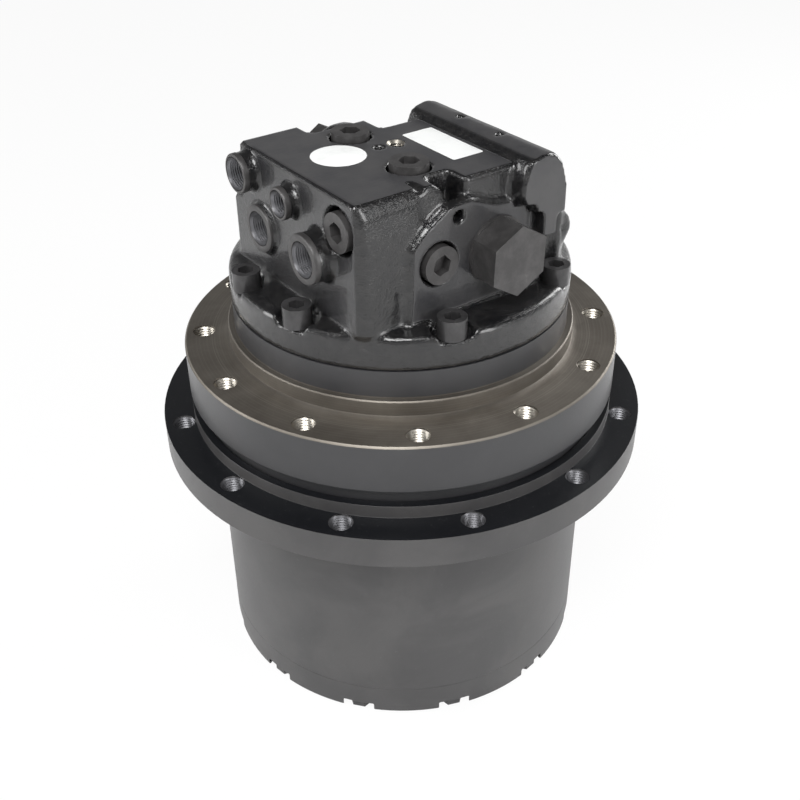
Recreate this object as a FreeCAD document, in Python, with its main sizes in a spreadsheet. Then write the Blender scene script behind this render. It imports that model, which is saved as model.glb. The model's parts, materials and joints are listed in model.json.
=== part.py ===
"""Excavator final drive: a two-stage planetary reduction with its travel motor.

The spindle, the motor and the valve block stay still, bolted to the track frame. The drum, which
carries the sprocket, turns about them. Z is the axis of rotation, and Z = 0 is the outer face of the
end cover. Sizes are in millimetres and degrees.
"""
import FreeCAD, Part
import math
import os
import re

import Sketcher

# --------------------------------------------------------------------------------------------------
# Driving dimensions. Every other size in this file is worked out from these.
# --------------------------------------------------------------------------------------------------
SIZES = {
    # rotating drum and its sprocket flange
    "drum_radius": 140.2,
    "sprocket_flange_bottom": 181.2,
    "sprocket_flange_thickness": 22.5,
    "sprocket_flange_radius": 177.0,
    "sprocket_bolt_circle": 163.7,
    "collar_radius": 155.4,
    "collar_bore": 149.7,
    "collar_height": 9.3,
    "seal_bore": 134.0,
    "seal_floor": 187.0,
    # fixed spindle with the frame flange
    "frame_flange_gap": 12.3,
    "frame_flange_thickness": 34.4,
    "frame_flange_radius": 155.8,
    "frame_bolt_circle": 142.3,
    "flange_chamfer": 1.2,
    "spigot_radius": 124.0,
    "spigot_height": 12.5,
    "spigot_foot": 4.0,
    "hub_radius": 119.5,
    "hub_land": 19.5,
    "flange_bolt_radius": 8.0,
    "flange_bolts": 12,
    "frame_clocking": -1.6,
    "sprocket_clocking": 10.3,
    # motor case inside the spindle
    "case_bore": 82.0,
    "case_floor": 156.0,
    "brake_ledge_bore": 75.0,
    "brake_ledge": 222.0,
    "spindle_bottom": 118.0,
    "spindle_nose_radius": 88.0,
    "neck_radius": 104.0,
    # main bearings
    "bearing_seat": 131.0,
    "bearing_width": 26.0,
    "bearing_outer": 115.0,
    "bearing_inner": 92.5,
    "race_thickness": 7.0,
    "lip_bore": 108.0,
    "lip_thickness": 7.0,
    # face seals
    "seal_ring_inner": 110.0,
    "seal_ring_outer": 122.0,
    "seal_ring_height": 12.0,
    # end cover
    "cover_height": 25.5,
    "cover_floor": 11.0,
    "cover_spigot": 124.8,
    "cover_spigot_height": 6.5,
    "cover_spigot_wall": 7.0,
    "cover_bolts": 12,
    "cover_bolt_circle": 131.0,
    "cover_bolt_radius": 5.0,
    "cover_bolt_head": 9.2,
    "cover_bolt_head_height": 5.5,
    "cover_pocket": 14.5,
    "cover_pocket_height": 7.5,
    "cover_clocking": 10.0,
    "cover_plug_circle": 62.0,
    "cover_plug_radius": 11.0,
    # gears
    "gear_module": 4.0,
    "sun_teeth": 12,
    "planet_teeth": 24,
    "planet_count": 3,
    "profile_shift": 0.3,
    "tooth_clearance": 0.42,
    "ring_gear_bottom": 33.0,
    "ring_gear_top": 118.0,
    "stage_one_bottom": 36.0,
    "stage_one_width": 24.0,
    "stage_two_bottom": 78.0,
    "stage_two_width": 36.0,
    "planet_pin_radius": 13.0,
    "carrier_radius": 91.0,
    "carrier_bottom": 62.0,
    "carrier_thickness": 10.0,
    "sun_hub_radius": 16.0,
    # motor shaft and rotating group
    "shaft_radius": 17.0,
    "stem_radius": 10.0,
    "shaft_end": 120.0,
    "shaft_socket_depth": 14.0,
    "shaft_journal": 12.5,
    "front_bearing_radius": 30.0,
    "front_bearing_width": 18.0,
    "rear_bearing_radius": 24.0,
    "rear_bearing_width": 14.0,
    "shaft_seal_radius": 26.0,
    "shaft_seal_width": 10.0,
    "block_radius": 57.5,
    "block_bottom": 212.0,
    "block_height": 60.0,
    "piston_count": 7,
    "piston_circle": 38.0,
    "piston_radius": 9.0,
    "piston_length": 48.0,
    "piston_reach": 4.5,
    "valve_plate_height": 4.7,
    "valve_plate_radius": 55.0,
    "swash_pivot_height": 186.0,
    "swash_radius": 54.0,
    "swash_thickness": 14.0,
    "swash_tilt": 10.0,
    "swash_bore": 25.0,
    "cradle_radius": 28.0,
    "cradle_length": 84.0,
    "cradle_seat_height": 8.0,
    "slipper_radius": 9.5,
    "slipper_height": 6.0,
    "retainer_thickness": 3.0,
    "speed_piston_radius": 8.0,
    "speed_piston_offset": 45.0,
    # parking brake
    "brake_disc_thickness": 3.0,
    "brake_disc_radius": 74.0,
    "brake_plate_bore": 61.0,
    "brake_piston_bore": 64.0,
    "brake_piston_height": 36.0,
    "brake_spring_height": 9.0,
    "brake_spring_thickness": 4.0,
    # clearances
    "running_fit": 0.05,
    "face_gap": 0.3,
    "case_fit": 0.15,
    # valve block
    "base_flange_radius": 119.8,
    "base_flange_height": 24.5,
    "base_bolt_circle": 110.8,
    "base_bolt_radius": 6.0,
    "base_bolt_head": 9.6,
    "base_bolt_head_height": 14.0,
    "base_spotface": 13.5,
    "base_spotface_depth": 6.0,
    "casing_radius": 110.5,
    "casing_top": 366.0,
    "block_top": 403.0,
    "port_face": 92.0,
    "front_wall": 87.0,
    "block_corner": 8.0,
    "shoulder_drop": 22.0,
    "shoulder_inset": 5.0,
    "block_back": 49.8,
    "bar_top": 409.8,
    "bar_bottom": 352.0,
    "bar_inner": 22.0,
    "bar_outer": 60.3,
    "bar_front": 100.0,
    "bar_length": 125.0,
    "valve_axis_x": 9.5,
    "valve_axis_height": 351.0,
    "valve_boss_radius": 31.0,
    "valve_boss_face": 91.0,
    "spool_radius": 11.0,
    "spool_length": 76.0,
    "spool_travel": 6.0,
    "spool_spring_length": 28.0,
    "hex_plug_flats": 41.0,
    "hex_plug_height": 21.0,
    "hex_plug_thread": 16.5,
    "hex_plug_thread_length": 14.0,
    "hex_plug_collar": 22.5,
    "hex_plug_collar_height": 2.0,
    "gallery_plug_radius": 12.6,
    "gallery_plug_height": 4.0,
    "gallery_recess": 13.7,
    "gallery_depth": 12.0,
    "gallery_thread": 8.5,
    "socket_flats": 12.0,
    "socket_depth": 6.0,
    "port_radius": 10.8,
    "port_depth": 26.0,
    "port_boss_radius": 16.2,
    "pilot_port_radius": 7.8,
    "pilot_boss_radius": 10.5,
    "drain_port_radius": 10.2,
    "drain_boss_radius": 13.0,
    "speed_spool_radius": 7.0,
    "speed_spool_length": 44.0,
    "speed_spool_travel": 5.0,
    "speed_spool_height": 384.0,
    "speed_spool_offset": 41.0,
}

doc = FreeCAD.newDocument("final_drive")
sheet = doc.addObject("Spreadsheet::Sheet", "Sizes")
for row, (alias, value) in enumerate(SIZES.items(), start=1):
    sheet.set(f"A{row}", alias.replace("_", " "))
    sheet.set(f"B{row}", str(value))
    sheet.setAlias(f"B{row}", alias)
doc.recompute()

WORD = re.compile(r"[a-z][a-z_]*[a-z]")


def bound(expression):
    """The expression with each size named as a cell of the sheet."""

    def cell(match):
        word = match.group(0)
        return f"Sizes.{word}" if word in SIZES else word

    return WORD.sub(cell, str(expression))


def size(expression):
    """The number that an expression on the sheet's sizes has now."""
    return float(sheet.evalExpression(bound(expression)))


# Heights along the axis, from the end cover up to the valve block.
SPROCKET_TOP = "(sprocket_flange_bottom + sprocket_flange_thickness)"
COLLAR_TOP = f"({SPROCKET_TOP} + collar_height)"
FRAME_BOTTOM = f"({COLLAR_TOP} + frame_flange_gap)"
FRAME_TOP = f"({FRAME_BOTTOM} + frame_flange_thickness)"
SPIGOT_TOP = f"({FRAME_TOP} + spigot_height)"
HUB_TOP = f"({SPIGOT_TOP} + hub_land)"
BASE_TOP = f"({HUB_TOP} + base_flange_height)"
SKIRT_BOTTOM = f"({SPROCKET_TOP} + 2.5)"
BEARING_MID = "(bearing_seat + bearing_width)"
BEARING_TOP = "(bearing_seat + 2 * bearing_width)"
VALVE_PLATE_BOTTOM = "(block_bottom + block_height + face_gap)"
VALVE_PLATE_TOP = f"({VALVE_PLATE_BOTTOM} + valve_plate_height)"
PILOT_BOTTOM = f"({HUB_TOP} - 10)"
# Gears. The two stages share one ring gear, so its teeth follow from a sun and a planet.
CENTRES = "(gear_module * (sun_teeth + planet_teeth) / 2)"
PLANET_TIP = "(gear_module * (planet_teeth / 2 + 1 - profile_shift))"
PLANET_ROOT = "(gear_module * (planet_teeth / 2 - 1.25 - profile_shift))"
SUN_TIP = "(gear_module * (sun_teeth / 2 + 1 + profile_shift))"
SUN_ROOT = "(gear_module * (sun_teeth / 2 - 1.25 + profile_shift))"
RING_TIP = f"({CENTRES} + {PLANET_ROOT} + gear_module / 4)"
RING_ROOT = f"({CENTRES} + {PLANET_TIP} + gear_module / 4)"


# --------------------------------------------------------------------------------------------------
# Ways to make a piece. Each one binds its sizes to the sheet.
# --------------------------------------------------------------------------------------------------
def origin_plane(body, role):
    return next(item for item in body.Origin.OriginFeatures if item.Role == role)


def new_sketch(body, name, role, offset="0"):
    """A sketch on one of the body's own origin planes, moved along that plane's normal."""
    sketch = body.newObject("Sketcher::SketchObject", name)
    sketch.AttachmentSupport = (origin_plane(body, role), [""])
    sketch.MapMode = "FlatFace"
    sketch.setExpression(".AttachmentOffset.Base.z", bound(offset))
    return sketch


def place_point(sketch, edge, end, corner):
    """Hold one end of an edge at a corner, given as two expressions."""
    for kind, expression in zip(("DistanceX", "DistanceY"), corner):
        number = sketch.addConstraint(Sketcher.Constraint(kind, -1, 1, edge, end, size(expression)))
        sketch.setExpression(f"Constraints[{number}]", bound(expression))


def add_outline(sketch, corners):
    """A closed outline of straight edges through corners, each held by two expressions."""
    points = [FreeCAD.Vector(size(x), size(y), 0) for x, y in corners]
    count = len(points)
    for number, point in enumerate(points):
        sketch.addGeometry(Part.LineSegment(point, points[(number + 1) % count]), False)
    for number, corner in enumerate(corners):
        last = (number - 1) % count
        sketch.addConstraint(Sketcher.Constraint("Coincident", last, 2, number, 1))
        place_point(sketch, number, 1, corner)


def add_circle(sketch, centre, radius):
    """A circle held by its centre and radius."""
    middle = FreeCAD.Vector(size(centre[0]), size(centre[1]), 0)
    edge = sketch.addGeometry(Part.Circle(middle, FreeCAD.Vector(0, 0, 1), size(radius)), False)
    place_point(sketch, edge, 3, centre)
    number = sketch.addConstraint(Sketcher.Constraint("Radius", edge, size(radius)))
    sketch.setExpression(f"Constraints[{number}]", bound(radius))


def new_body(label):
    body = doc.addObject("PartDesign::Body", label)
    body.Label = label
    return body


def turned(body, name, corners):
    """A section of radius and height corners, turned about the Z axis."""
    sketch = new_sketch(body, name + "_section", "XZ_Plane")
    add_outline(sketch, corners)
    feature = body.newObject("PartDesign::Revolution", name)
    feature.Profile = sketch
    feature.ReferenceAxis = (sketch, ["V_Axis"])
    feature.Angle = 360
    return feature


def ring(label, inner, outer, bottom, top):
    """A plain ring, or a plain disc where inner is None."""
    body = new_body(label)
    sketch = new_sketch(body, label + "_plan", "XY_Plane", bottom)
    add_circle(sketch, ("0", "0"), outer)
    if inner is not None:
        add_circle(sketch, ("0", "0"), inner)
    padded(body, label + "_pad", sketch, f"({top}) - ({bottom})")
    return body


def padded(body, name, sketch, length, reverse=False):
    feature = body.newObject("PartDesign::Pad", name)
    feature.Profile = sketch
    feature.setExpression("Length", bound(length))
    feature.Reversed = reverse
    return feature


def pocketed(body, name, sketch, depth, reverse=False):
    feature = body.newObject("PartDesign::Pocket", name)
    feature.Profile = sketch
    feature.setExpression("Length", bound(depth))
    feature.Reversed = reverse
    return feature


def repeated(body, name, feature, sketch, count):
    """Copies of a feature, evenly spaced about the Z axis."""
    pattern = body.newObject("PartDesign::PolarPattern", name)
    pattern.Originals = [feature]
    pattern.Axis = (sketch, ["N_Axis"])
    pattern.Angle = 360
    pattern.setExpression("Occurrences", bound(count))
    body.Tip = pattern
    return pattern


def holes_on_circle(body, name, circle, clocking, radius, top, depth, count):
    """A ring of round holes, sunk downwards from a height."""
    sketch = new_sketch(body, name + "_plan", "XY_Plane", top)
    add_circle(sketch, (f"{circle} * cos({clocking} * 1deg)", f"{circle} * sin({clocking} * 1deg)"), radius)
    pocket = pocketed(body, name + "_one", sketch, depth)
    return repeated(body, name, pocket, sketch, count)


def fixed_shape(label, shape):
    """A shape worked out from the sheet's sizes with Part's own functions."""
    piece = doc.addObject("Part::Feature", label)
    piece.Label = label
    piece.Shape = shape
    return piece


def cylinder(radius, height, x=0.0, y=0.0, z=0.0, axis=(0, 0, 1)):
    return Part.makeCylinder(radius, height, FreeCAD.Vector(x, y, z), FreeCAD.Vector(*axis))


def hexagon(flats, height, centre, axis, turn=0.0):
    """A hexagonal prism of a width across flats, from centre along axis."""
    radius = flats / math.sqrt(3)
    corners = []
    for number in range(7):
        angle = math.radians(60 * number + turn)
        corners.append(FreeCAD.Vector(radius * math.cos(angle), radius * math.sin(angle), 0))
    prism = Part.Face(Part.makePolygon(corners)).extrude(FreeCAD.Vector(0, 0, height))
    prism.Placement = FreeCAD.Placement(
        FreeCAD.Vector(*centre), FreeCAD.Rotation(FreeCAD.Vector(0, 0, 1), FreeCAD.Vector(*axis))
    )
    return prism


def around(radius, count, clocking=0.0):
    """Points evenly spaced on a circle, as (x, y)."""
    for number in range(round(count)):
        angle = math.radians(clocking + 360.0 * number / round(count))
        yield radius * math.cos(angle), radius * math.sin(angle)


# --------------------------------------------------------------------------------------------------
# Gears
# --------------------------------------------------------------------------------------------------
PRESSURE_ANGLE = math.radians(20.0)
FLANK_STEPS = 2


def tooth_profile(teeth, shift, tip, root, thinning, first_angle, steps=FLANK_STEPS):
    """Corners of an involute gear outline; the first tooth is centred on first_angle (degrees).

    A flank point at radius r stands half the tooth's thickness there away from the tooth's middle:
    half the thickness at the pitch circle, plus involute(pitch) less involute(r), less the thinning.
    """
    module = size("gear_module")
    pitch = module * teeth / 2
    base = pitch * math.cos(PRESSURE_ANGLE)

    def involute(radius):
        if radius <= base:
            return 0.0
        roll = math.acos(base / radius)
        return math.tan(roll) - roll

    half_pitch_angle = (math.pi / 2 + 2 * shift * math.tan(PRESSURE_ANGLE)) / teeth
    half_pitch_angle -= thinning / (2 * pitch)
    radii = [root + (tip - root) * step / steps for step in range(steps + 1)]
    corners = []
    for tooth in range(round(teeth)):
        middle = math.radians(first_angle) + 2 * math.pi * tooth / teeth
        for side, order in ((-1, radii), (1, radii[::-1])):
            for radius in order:
                spread = half_pitch_angle + involute(pitch) - involute(radius)
                angle = middle + side * spread
                corners.append(FreeCAD.Vector(radius * math.cos(angle), radius * math.sin(angle), 0))
    return corners


def extruded_outline(corners, bottom, height):
    outline = Part.makePolygon(corners + corners[:1])
    prism = Part.Face(outline).extrude(FreeCAD.Vector(0, 0, height))
    prism.translate(FreeCAD.Vector(0, 0, bottom))
    return prism


def external_gear(teeth, shift, tip, root, first_angle, bottom, height):
    corners = tooth_profile(teeth, shift, tip, root, size("tooth_clearance"), first_angle)
    return extruded_outline(corners, bottom, height)


def planet_places():
    """The angle of each planet about the main axis, in degrees."""
    count = round(size("planet_count"))
    return [90.0 + 360.0 * number / count for number in range(count)]


def meshing_angle(place):
    """First tooth angle of a planet so that it meshes with a sun whose first tooth points along +X.

    The sun's tooth pattern, seen from the planet's centre, is turned back through the gear ratio.
    """
    sun, planet = size("sun_teeth"), size("planet_teeth")
    sun_phase = (place * sun / 360.0) % 1.0
    return place + 180.0 + (sun_phase + 0.5) * 360.0 / planet


def ring_gear_cutter():
    """The space inside the ring gear's teeth, clocked to mesh with every planet."""
    ring_teeth = size("sun_teeth + 2 * planet_teeth")
    place = planet_places()[0]
    first = place + (meshing_angle(place) - place) * size("planet_teeth") / ring_teeth
    corners = tooth_profile(
        ring_teeth, -size("profile_shift"), size(RING_ROOT), size(RING_TIP), -size("tooth_clearance"), first
    )
    bottom = size("cover_height")
    return extruded_outline(corners, bottom, size("ring_gear_top") - bottom)


# --------------------------------------------------------------------------------------------------
# Rotating drum
# --------------------------------------------------------------------------------------------------
def make_drum_housing():
    """Drum with sprocket flange, labyrinth collar, bearing bore and the ring gear's teeth."""
    body = new_body("drum_blank")
    turned(
        body,
        "drum_turned",
        [
            ("cover_spigot + running_fit", "cover_height"),
            ("drum_radius", "cover_height"),
            ("drum_radius", "sprocket_flange_bottom"),
            ("sprocket_flange_radius", "sprocket_flange_bottom"),
            ("sprocket_flange_radius", SPROCKET_TOP),
            ("collar_radius", SPROCKET_TOP),
            ("collar_radius", COLLAR_TOP),
            ("collar_bore", COLLAR_TOP),
            ("collar_bore", SPROCKET_TOP),
            ("seal_bore", SPROCKET_TOP),
            ("seal_bore", "seal_floor"),
            ("bearing_outer", "seal_floor"),
            ("bearing_outer", "bearing_seat"),
            ("lip_bore", "bearing_seat"),
            ("lip_bore", "bearing_seat - lip_thickness"),
            (f"{RING_ROOT} + 1", "bearing_seat - lip_thickness"),
            (f"{RING_ROOT} + 1", "ring_gear_top"),
            (RING_TIP, "ring_gear_top"),
            (RING_TIP, "ring_gear_bottom"),
            ("cover_spigot + running_fit", "ring_gear_bottom"),
        ],
    )
    holes_on_circle(
        body, "sprocket_holes", "sprocket_bolt_circle", "sprocket_clocking", "flange_bolt_radius",
        SPROCKET_TOP, "sprocket_flange_thickness", "flange_bolts",
    )
    doc.recompute()
    cutter = doc.addObject("Part::Feature", "ring_gear_space")
    cutter.Shape = ring_gear_cutter()
    housing = doc.addObject("Part::Cut", "drum_housing")
    housing.Base = body
    housing.Tool = cutter
    housing.Label = "drum_housing"
    return housing


def make_end_cover():
    """Dished cover with a spigot in the drum and a spot-faced pocket at each bolt."""
    body = new_body("end_cover")
    turned(
        body,
        "cover_turned",
        [
            ("0", "cover_floor"),
            ("0", "2"),
            ("drum_radius - 34", "2"),
            ("drum_radius - 28", "0"),
            ("drum_radius - 2", "0"),
            ("drum_radius", "2"),
            ("drum_radius", "cover_height"),
            ("cover_spigot", "cover_height"),
            ("cover_spigot", "cover_height + cover_spigot_height"),
            ("cover_spigot - cover_spigot_wall", "cover_height + cover_spigot_height"),
            ("cover_spigot - cover_spigot_wall", "cover_floor + 6"),
            ("cover_spigot - cover_spigot_wall - 8", "cover_floor"),
        ],
    )
    sketch = new_sketch(body, "cover_pocket_plan", "XY_Plane", "cover_pocket_height")
    place = ("cover_bolt_circle * cos(cover_clocking * 1deg)", "cover_bolt_circle * sin(cover_clocking * 1deg)")
    add_circle(sketch, place, "cover_pocket")
    pocket = pocketed(body, "cover_pocket_one", sketch, "cover_pocket_height")
    repeated(body, "cover_pockets", pocket, sketch, "cover_bolts")
    holes_on_circle(
        body, "cover_holes", "cover_bolt_circle", "cover_clocking", "cover_bolt_radius + 0.25",
        "cover_height", "cover_height", "cover_bolts",
    )
    sketch = new_sketch(body, "cover_plug_plan", "XY_Plane", "cover_floor")
    add_circle(sketch, ("cover_plug_circle", "0"), "cover_plug_radius")
    pocket = pocketed(body, "cover_plug_one", sketch, "cover_floor")
    repeated(body, "cover_plug_holes", pocket, sketch, "2")
    return body


def make_cover_bolts():
    """Hexagon head bolts that hold the cover to the drum, all in one node."""
    solids = []
    head, height = size("cover_bolt_head"), size("cover_bolt_head_height")
    seat = size("cover_pocket_height")
    for x, y in around(size("cover_bolt_circle"), size("cover_bolts"), size("cover_clocking")):
        flat_out = math.degrees(math.atan2(y, x)) + 30.0
        bolt = hexagon(2 * head * math.cos(math.pi / 6), height, (x, y, seat - height), (0, 0, 1), flat_out)
        shank = cylinder(size("cover_bolt_radius"), size("cover_height") - seat - 0.2, x, y, seat)
        solids.append(bolt.fuse(shank))
    return fixed_shape("cover_bolts", Part.makeCompound(solids))


def make_cover_plugs():
    """Filler and level plugs in the end cover."""
    radius, floor = size("cover_plug_radius"), size("cover_floor")
    solids = []
    for x, y in around(size("cover_plug_circle"), 2):
        plug = cylinder(radius, floor - 2.0, x, y, 2.0)
        socket = hexagon(10.0, 5.0, (x, y, 2.0), (0, 0, 1))
        solids.append(plug.cut(socket))
    return fixed_shape("cover_plugs", Part.makeCompound(solids))


# --------------------------------------------------------------------------------------------------
# Fixed spindle
# --------------------------------------------------------------------------------------------------
def make_hub_spindle():
    """Spindle: frame flange, spigot, seal skirt, bearing seats, motor case and second-stage pin bores."""
    body = new_body("hub_spindle")
    turned(
        body,
        "spindle_turned",
        [
            ("shaft_seal_radius", "spindle_bottom"),
            ("spindle_nose_radius", "spindle_bottom"),
            ("spindle_nose_radius", "bearing_seat"),
            ("bearing_inner", "bearing_seat"),
            ("bearing_inner", BEARING_TOP),
            ("neck_radius", BEARING_TOP),
            ("neck_radius", f"{FRAME_BOTTOM} - 3"),
            ("seal_bore", f"{FRAME_BOTTOM} - 3"),
            ("seal_bore", SKIRT_BOTTOM),
            ("collar_bore - 0.6", SKIRT_BOTTOM),
            ("collar_bore - 0.6", FRAME_BOTTOM),
            ("frame_flange_radius", FRAME_BOTTOM),
            ("frame_flange_radius", f"{FRAME_TOP} - flange_chamfer"),
            ("frame_flange_radius - flange_chamfer", FRAME_TOP),
            ("spigot_radius + spigot_foot", FRAME_TOP),
            ("spigot_radius", f"{FRAME_TOP} + 2"),
            ("spigot_radius", f"{SPIGOT_TOP} - 0.8"),
            ("spigot_radius - 0.8", SPIGOT_TOP),
            ("hub_radius", SPIGOT_TOP),
            ("hub_radius", HUB_TOP),
            ("case_bore", HUB_TOP),
            ("case_bore", "brake_ledge"),
            ("brake_ledge_bore", "brake_ledge"),
            ("brake_ledge_bore", "case_floor"),
            ("front_bearing_radius", "case_floor"),
            ("front_bearing_radius", "case_floor - front_bearing_width - 4"),
            ("shaft_radius + 4", "case_floor - front_bearing_width - 4"),
            ("shaft_radius + 4", "spindle_bottom + shaft_seal_width + 1"),
            ("shaft_seal_radius", "spindle_bottom + shaft_seal_width + 1"),
        ],
    )
    holes_on_circle(
        body, "frame_holes", "frame_bolt_circle", "frame_clocking", "flange_bolt_radius",
        FRAME_TOP, "frame_flange_thickness", "flange_bolts",
    )
    holes_on_circle(
        body, "pin_bores", CENTRES, "90", "planet_pin_radius",
        "case_floor - 8", "case_floor - 8 - spindle_bottom", "planet_count",
    )
    sketch = new_sketch(body, "speed_bore_plan", "XY_Plane", "case_floor")
    add_circle(sketch, ("0", "-speed_piston_offset"), "speed_piston_radius + running_fit")
    pocketed(body, "speed_bore", sketch, "16")
    return body


def make_planet_pin(label, x_y_list, bottom, top, head_side):
    """Headed pins; head_side is the end, bottom or top, that carries the head."""
    radius = size("planet_pin_radius")
    solids = []
    for x, y in x_y_list:
        pin = cylinder(radius, top - bottom, x, y, bottom)
        head_bottom = bottom - 3.5 if head_side == "bottom" else top
        pin = pin.fuse(cylinder(radius + 4.5, 3.5, x, y, head_bottom))
        solids.append(pin)
    return fixed_shape(label, Part.makeCompound(solids))


# --------------------------------------------------------------------------------------------------
# Gear train
# --------------------------------------------------------------------------------------------------
def make_planets(stage, bottom, width):
    """The planets of one stage, each a node of its own, meshing with the sun and the ring gear."""
    centre_radius = size(CENTRES)
    for letter, place in zip("abcdefgh", planet_places()):
        gear = external_gear(
            size("planet_teeth"), -size("profile_shift"), size(PLANET_TIP), size(PLANET_ROOT),
            meshing_angle(place), bottom, width,
        )
        gear = gear.cut(cylinder(size("planet_pin_radius + running_fit"), width, z=bottom))
        angle = math.radians(place)
        piece = fixed_shape(f"planet_{stage}_{letter}", gear)
        piece.Placement.Base = FreeCAD.Vector(centre_radius * math.cos(angle), centre_radius * math.sin(angle), 0)


def make_sun_one():
    """First-stage sun with the long stem that enters the motor shaft."""
    bottom = size("stage_one_bottom")
    gear = external_gear(
        size("sun_teeth"), size("profile_shift"), size(SUN_TIP), size(SUN_ROOT), 0.0,
        bottom - 1.0, size("stage_one_width") + 1.0,
    )
    top = size("shaft_end + shaft_socket_depth") - 0.5
    stem = cylinder(size("stem_radius"), top - bottom, z=bottom)
    return fixed_shape("sun_gear_first", gear.fuse(stem))


def make_sun_two():
    """Second-stage sun, splined into the first-stage carrier."""
    bottom, width = size("stage_two_bottom") - 2.0, size("stage_two_width") + 3.0
    gear = external_gear(
        size("sun_teeth"), size("profile_shift"), size(SUN_TIP), size(SUN_ROOT), 0.0, bottom, width
    )
    foot = size("carrier_bottom")
    hub = cylinder(size("sun_hub_radius"), bottom - foot, z=foot)
    bore = cylinder(size("stem_radius") + 1.0, width + bottom - foot, z=foot)
    return fixed_shape("sun_gear_second", gear.fuse(hub).cut(bore))


def make_carrier():
    """First-stage carrier plate with a bore for the sun's hub and one for each planet pin."""
    body = ring("planet_carrier", "sun_hub_radius", "carrier_radius", "carrier_bottom",
                "carrier_bottom + carrier_thickness")
    holes_on_circle(
        body, "carrier_pin_holes", CENTRES, "90", "planet_pin_radius",
        "carrier_bottom + carrier_thickness", "carrier_thickness", "planet_count",
    )
    return body


# --------------------------------------------------------------------------------------------------
# Motor
# --------------------------------------------------------------------------------------------------
def make_motor_shaft():
    body = new_body("motor_shaft")
    turned(
        body,
        "shaft_turned",
        [
            ("stem_radius", "shaft_end"),
            ("shaft_radius", "shaft_end"),
            ("shaft_radius", "block_bottom + block_height - 12"),
            ("shaft_journal", "block_bottom + block_height - 12"),
            ("shaft_journal", f"{PILOT_BOTTOM} + rear_bearing_width + 1"),
            ("0", f"{PILOT_BOTTOM} + rear_bearing_width + 1"),
            ("0", "shaft_end + shaft_socket_depth"),
            ("stem_radius", "shaft_end + shaft_socket_depth"),
        ],
    )
    return body


def make_cylinder_block():
    body = new_body("cylinder_block")
    turned(
        body,
        "block_turned",
        [
            ("shaft_radius", "block_bottom"),
            ("block_radius", "block_bottom"),
            ("block_radius", "block_bottom + block_height"),
            ("shaft_journal", "block_bottom + block_height"),
            ("shaft_journal", "block_bottom + block_height - 12"),
            ("shaft_radius", "block_bottom + block_height - 12"),
        ],
    )
    holes_on_circle(
        body, "piston_bores", "piston_circle", "90", "piston_radius",
        "block_bottom + block_height - 8", "block_height - 8", "piston_count",
    )
    return body


def make_pistons():
    radius, length = size("piston_radius"), size("piston_length")
    bottom = size("block_bottom - piston_reach")
    solids = []
    for x, y in around(size("piston_circle"), size("piston_count"), 90.0):
        solids.append(cylinder(radius, length, x, y, bottom))
    return fixed_shape("motor_pistons", Part.makeCompound(solids))


def tilted(shape):
    """A shape turned about the swash plate's pivot, which lies along X, by the plate's tilt."""
    pivot = FreeCAD.Vector(0, 0, size("swash_pivot_height"))
    shape.rotate(pivot, FreeCAD.Vector(1, 0, 0), size("swash_tilt"))
    return shape


def make_swash_plate():
    """Tilting plate with a half-round back that rocks in its cradle."""
    pivot, thick = size("swash_pivot_height"), size("swash_thickness")
    radius, length = size("cradle_radius"), size("cradle_length")
    disc = cylinder(size("swash_radius"), thick, z=pivot - thick)
    back = cylinder(radius, length, -length / 2, 0, pivot, (1, 0, 0))
    below = Part.makeBox(length, 2 * radius, radius, FreeCAD.Vector(-length / 2, -radius, pivot - thick - radius))
    plate = disc.fuse(back.common(below))
    plate = tilted(plate)
    return fixed_shape("swash_plate", plate.cut(cylinder(size("swash_bore"), 80.0, z=pivot - 60.0)))


def make_swash_cradle():
    """Fixed cradle on the case floor, hollowed to the swash plate's half-round back."""
    floor, height = size("case_floor"), size("cradle_seat_height")
    length = size("cradle_length")
    width = 44.0
    block = Part.makeBox(length, width, height, FreeCAD.Vector(-length / 2, -width / 2, floor))
    seat = cylinder(
        size("cradle_radius + running_fit"), length, -length / 2, 0, size("swash_pivot_height"), (1, 0, 0)
    )
    return fixed_shape("swash_cradle", block.cut(seat).cut(cylinder(size("front_bearing_radius"), height, z=floor)))


def make_slippers():
    """Slippers that slide on the swash plate, with the retainer plate that holds them down."""
    pivot, height = size("swash_pivot_height + face_gap"), size("slipper_height")
    plate_bottom = pivot + height - size("retainer_thickness")
    plate = cylinder(size("piston_circle") + 12.0, size("retainer_thickness"), z=plate_bottom)
    plate = plate.cut(cylinder(size("swash_bore"), size("retainer_thickness"), z=plate_bottom))
    for x, y in around(size("piston_circle"), size("piston_count"), 90.0):
        plate = plate.fuse(cylinder(size("slipper_radius"), height, x, y, pivot))
    return fixed_shape("slipper_retainer", tilted(plate))


def make_speed_piston():
    """Control piston that lifts the low side of the swash plate for the high travel speed."""
    offset, tilt = size("speed_piston_offset"), math.radians(size("swash_tilt"))
    plate_bottom = size("swash_pivot_height") - size("swash_thickness") / math.cos(tilt) - offset * math.tan(tilt)
    floor = size("case_floor")
    piston = cylinder(size("speed_piston_radius"), 15.0, 0, -offset, floor - 13.0)
    tip_top = plate_bottom - size("face_gap")
    tip = Part.makeCone(4.5, 1.5, tip_top - floor - 2.0, FreeCAD.Vector(0, -offset, floor + 2.0))
    return fixed_shape("speed_control_piston", piston.fuse(tip))


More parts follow.
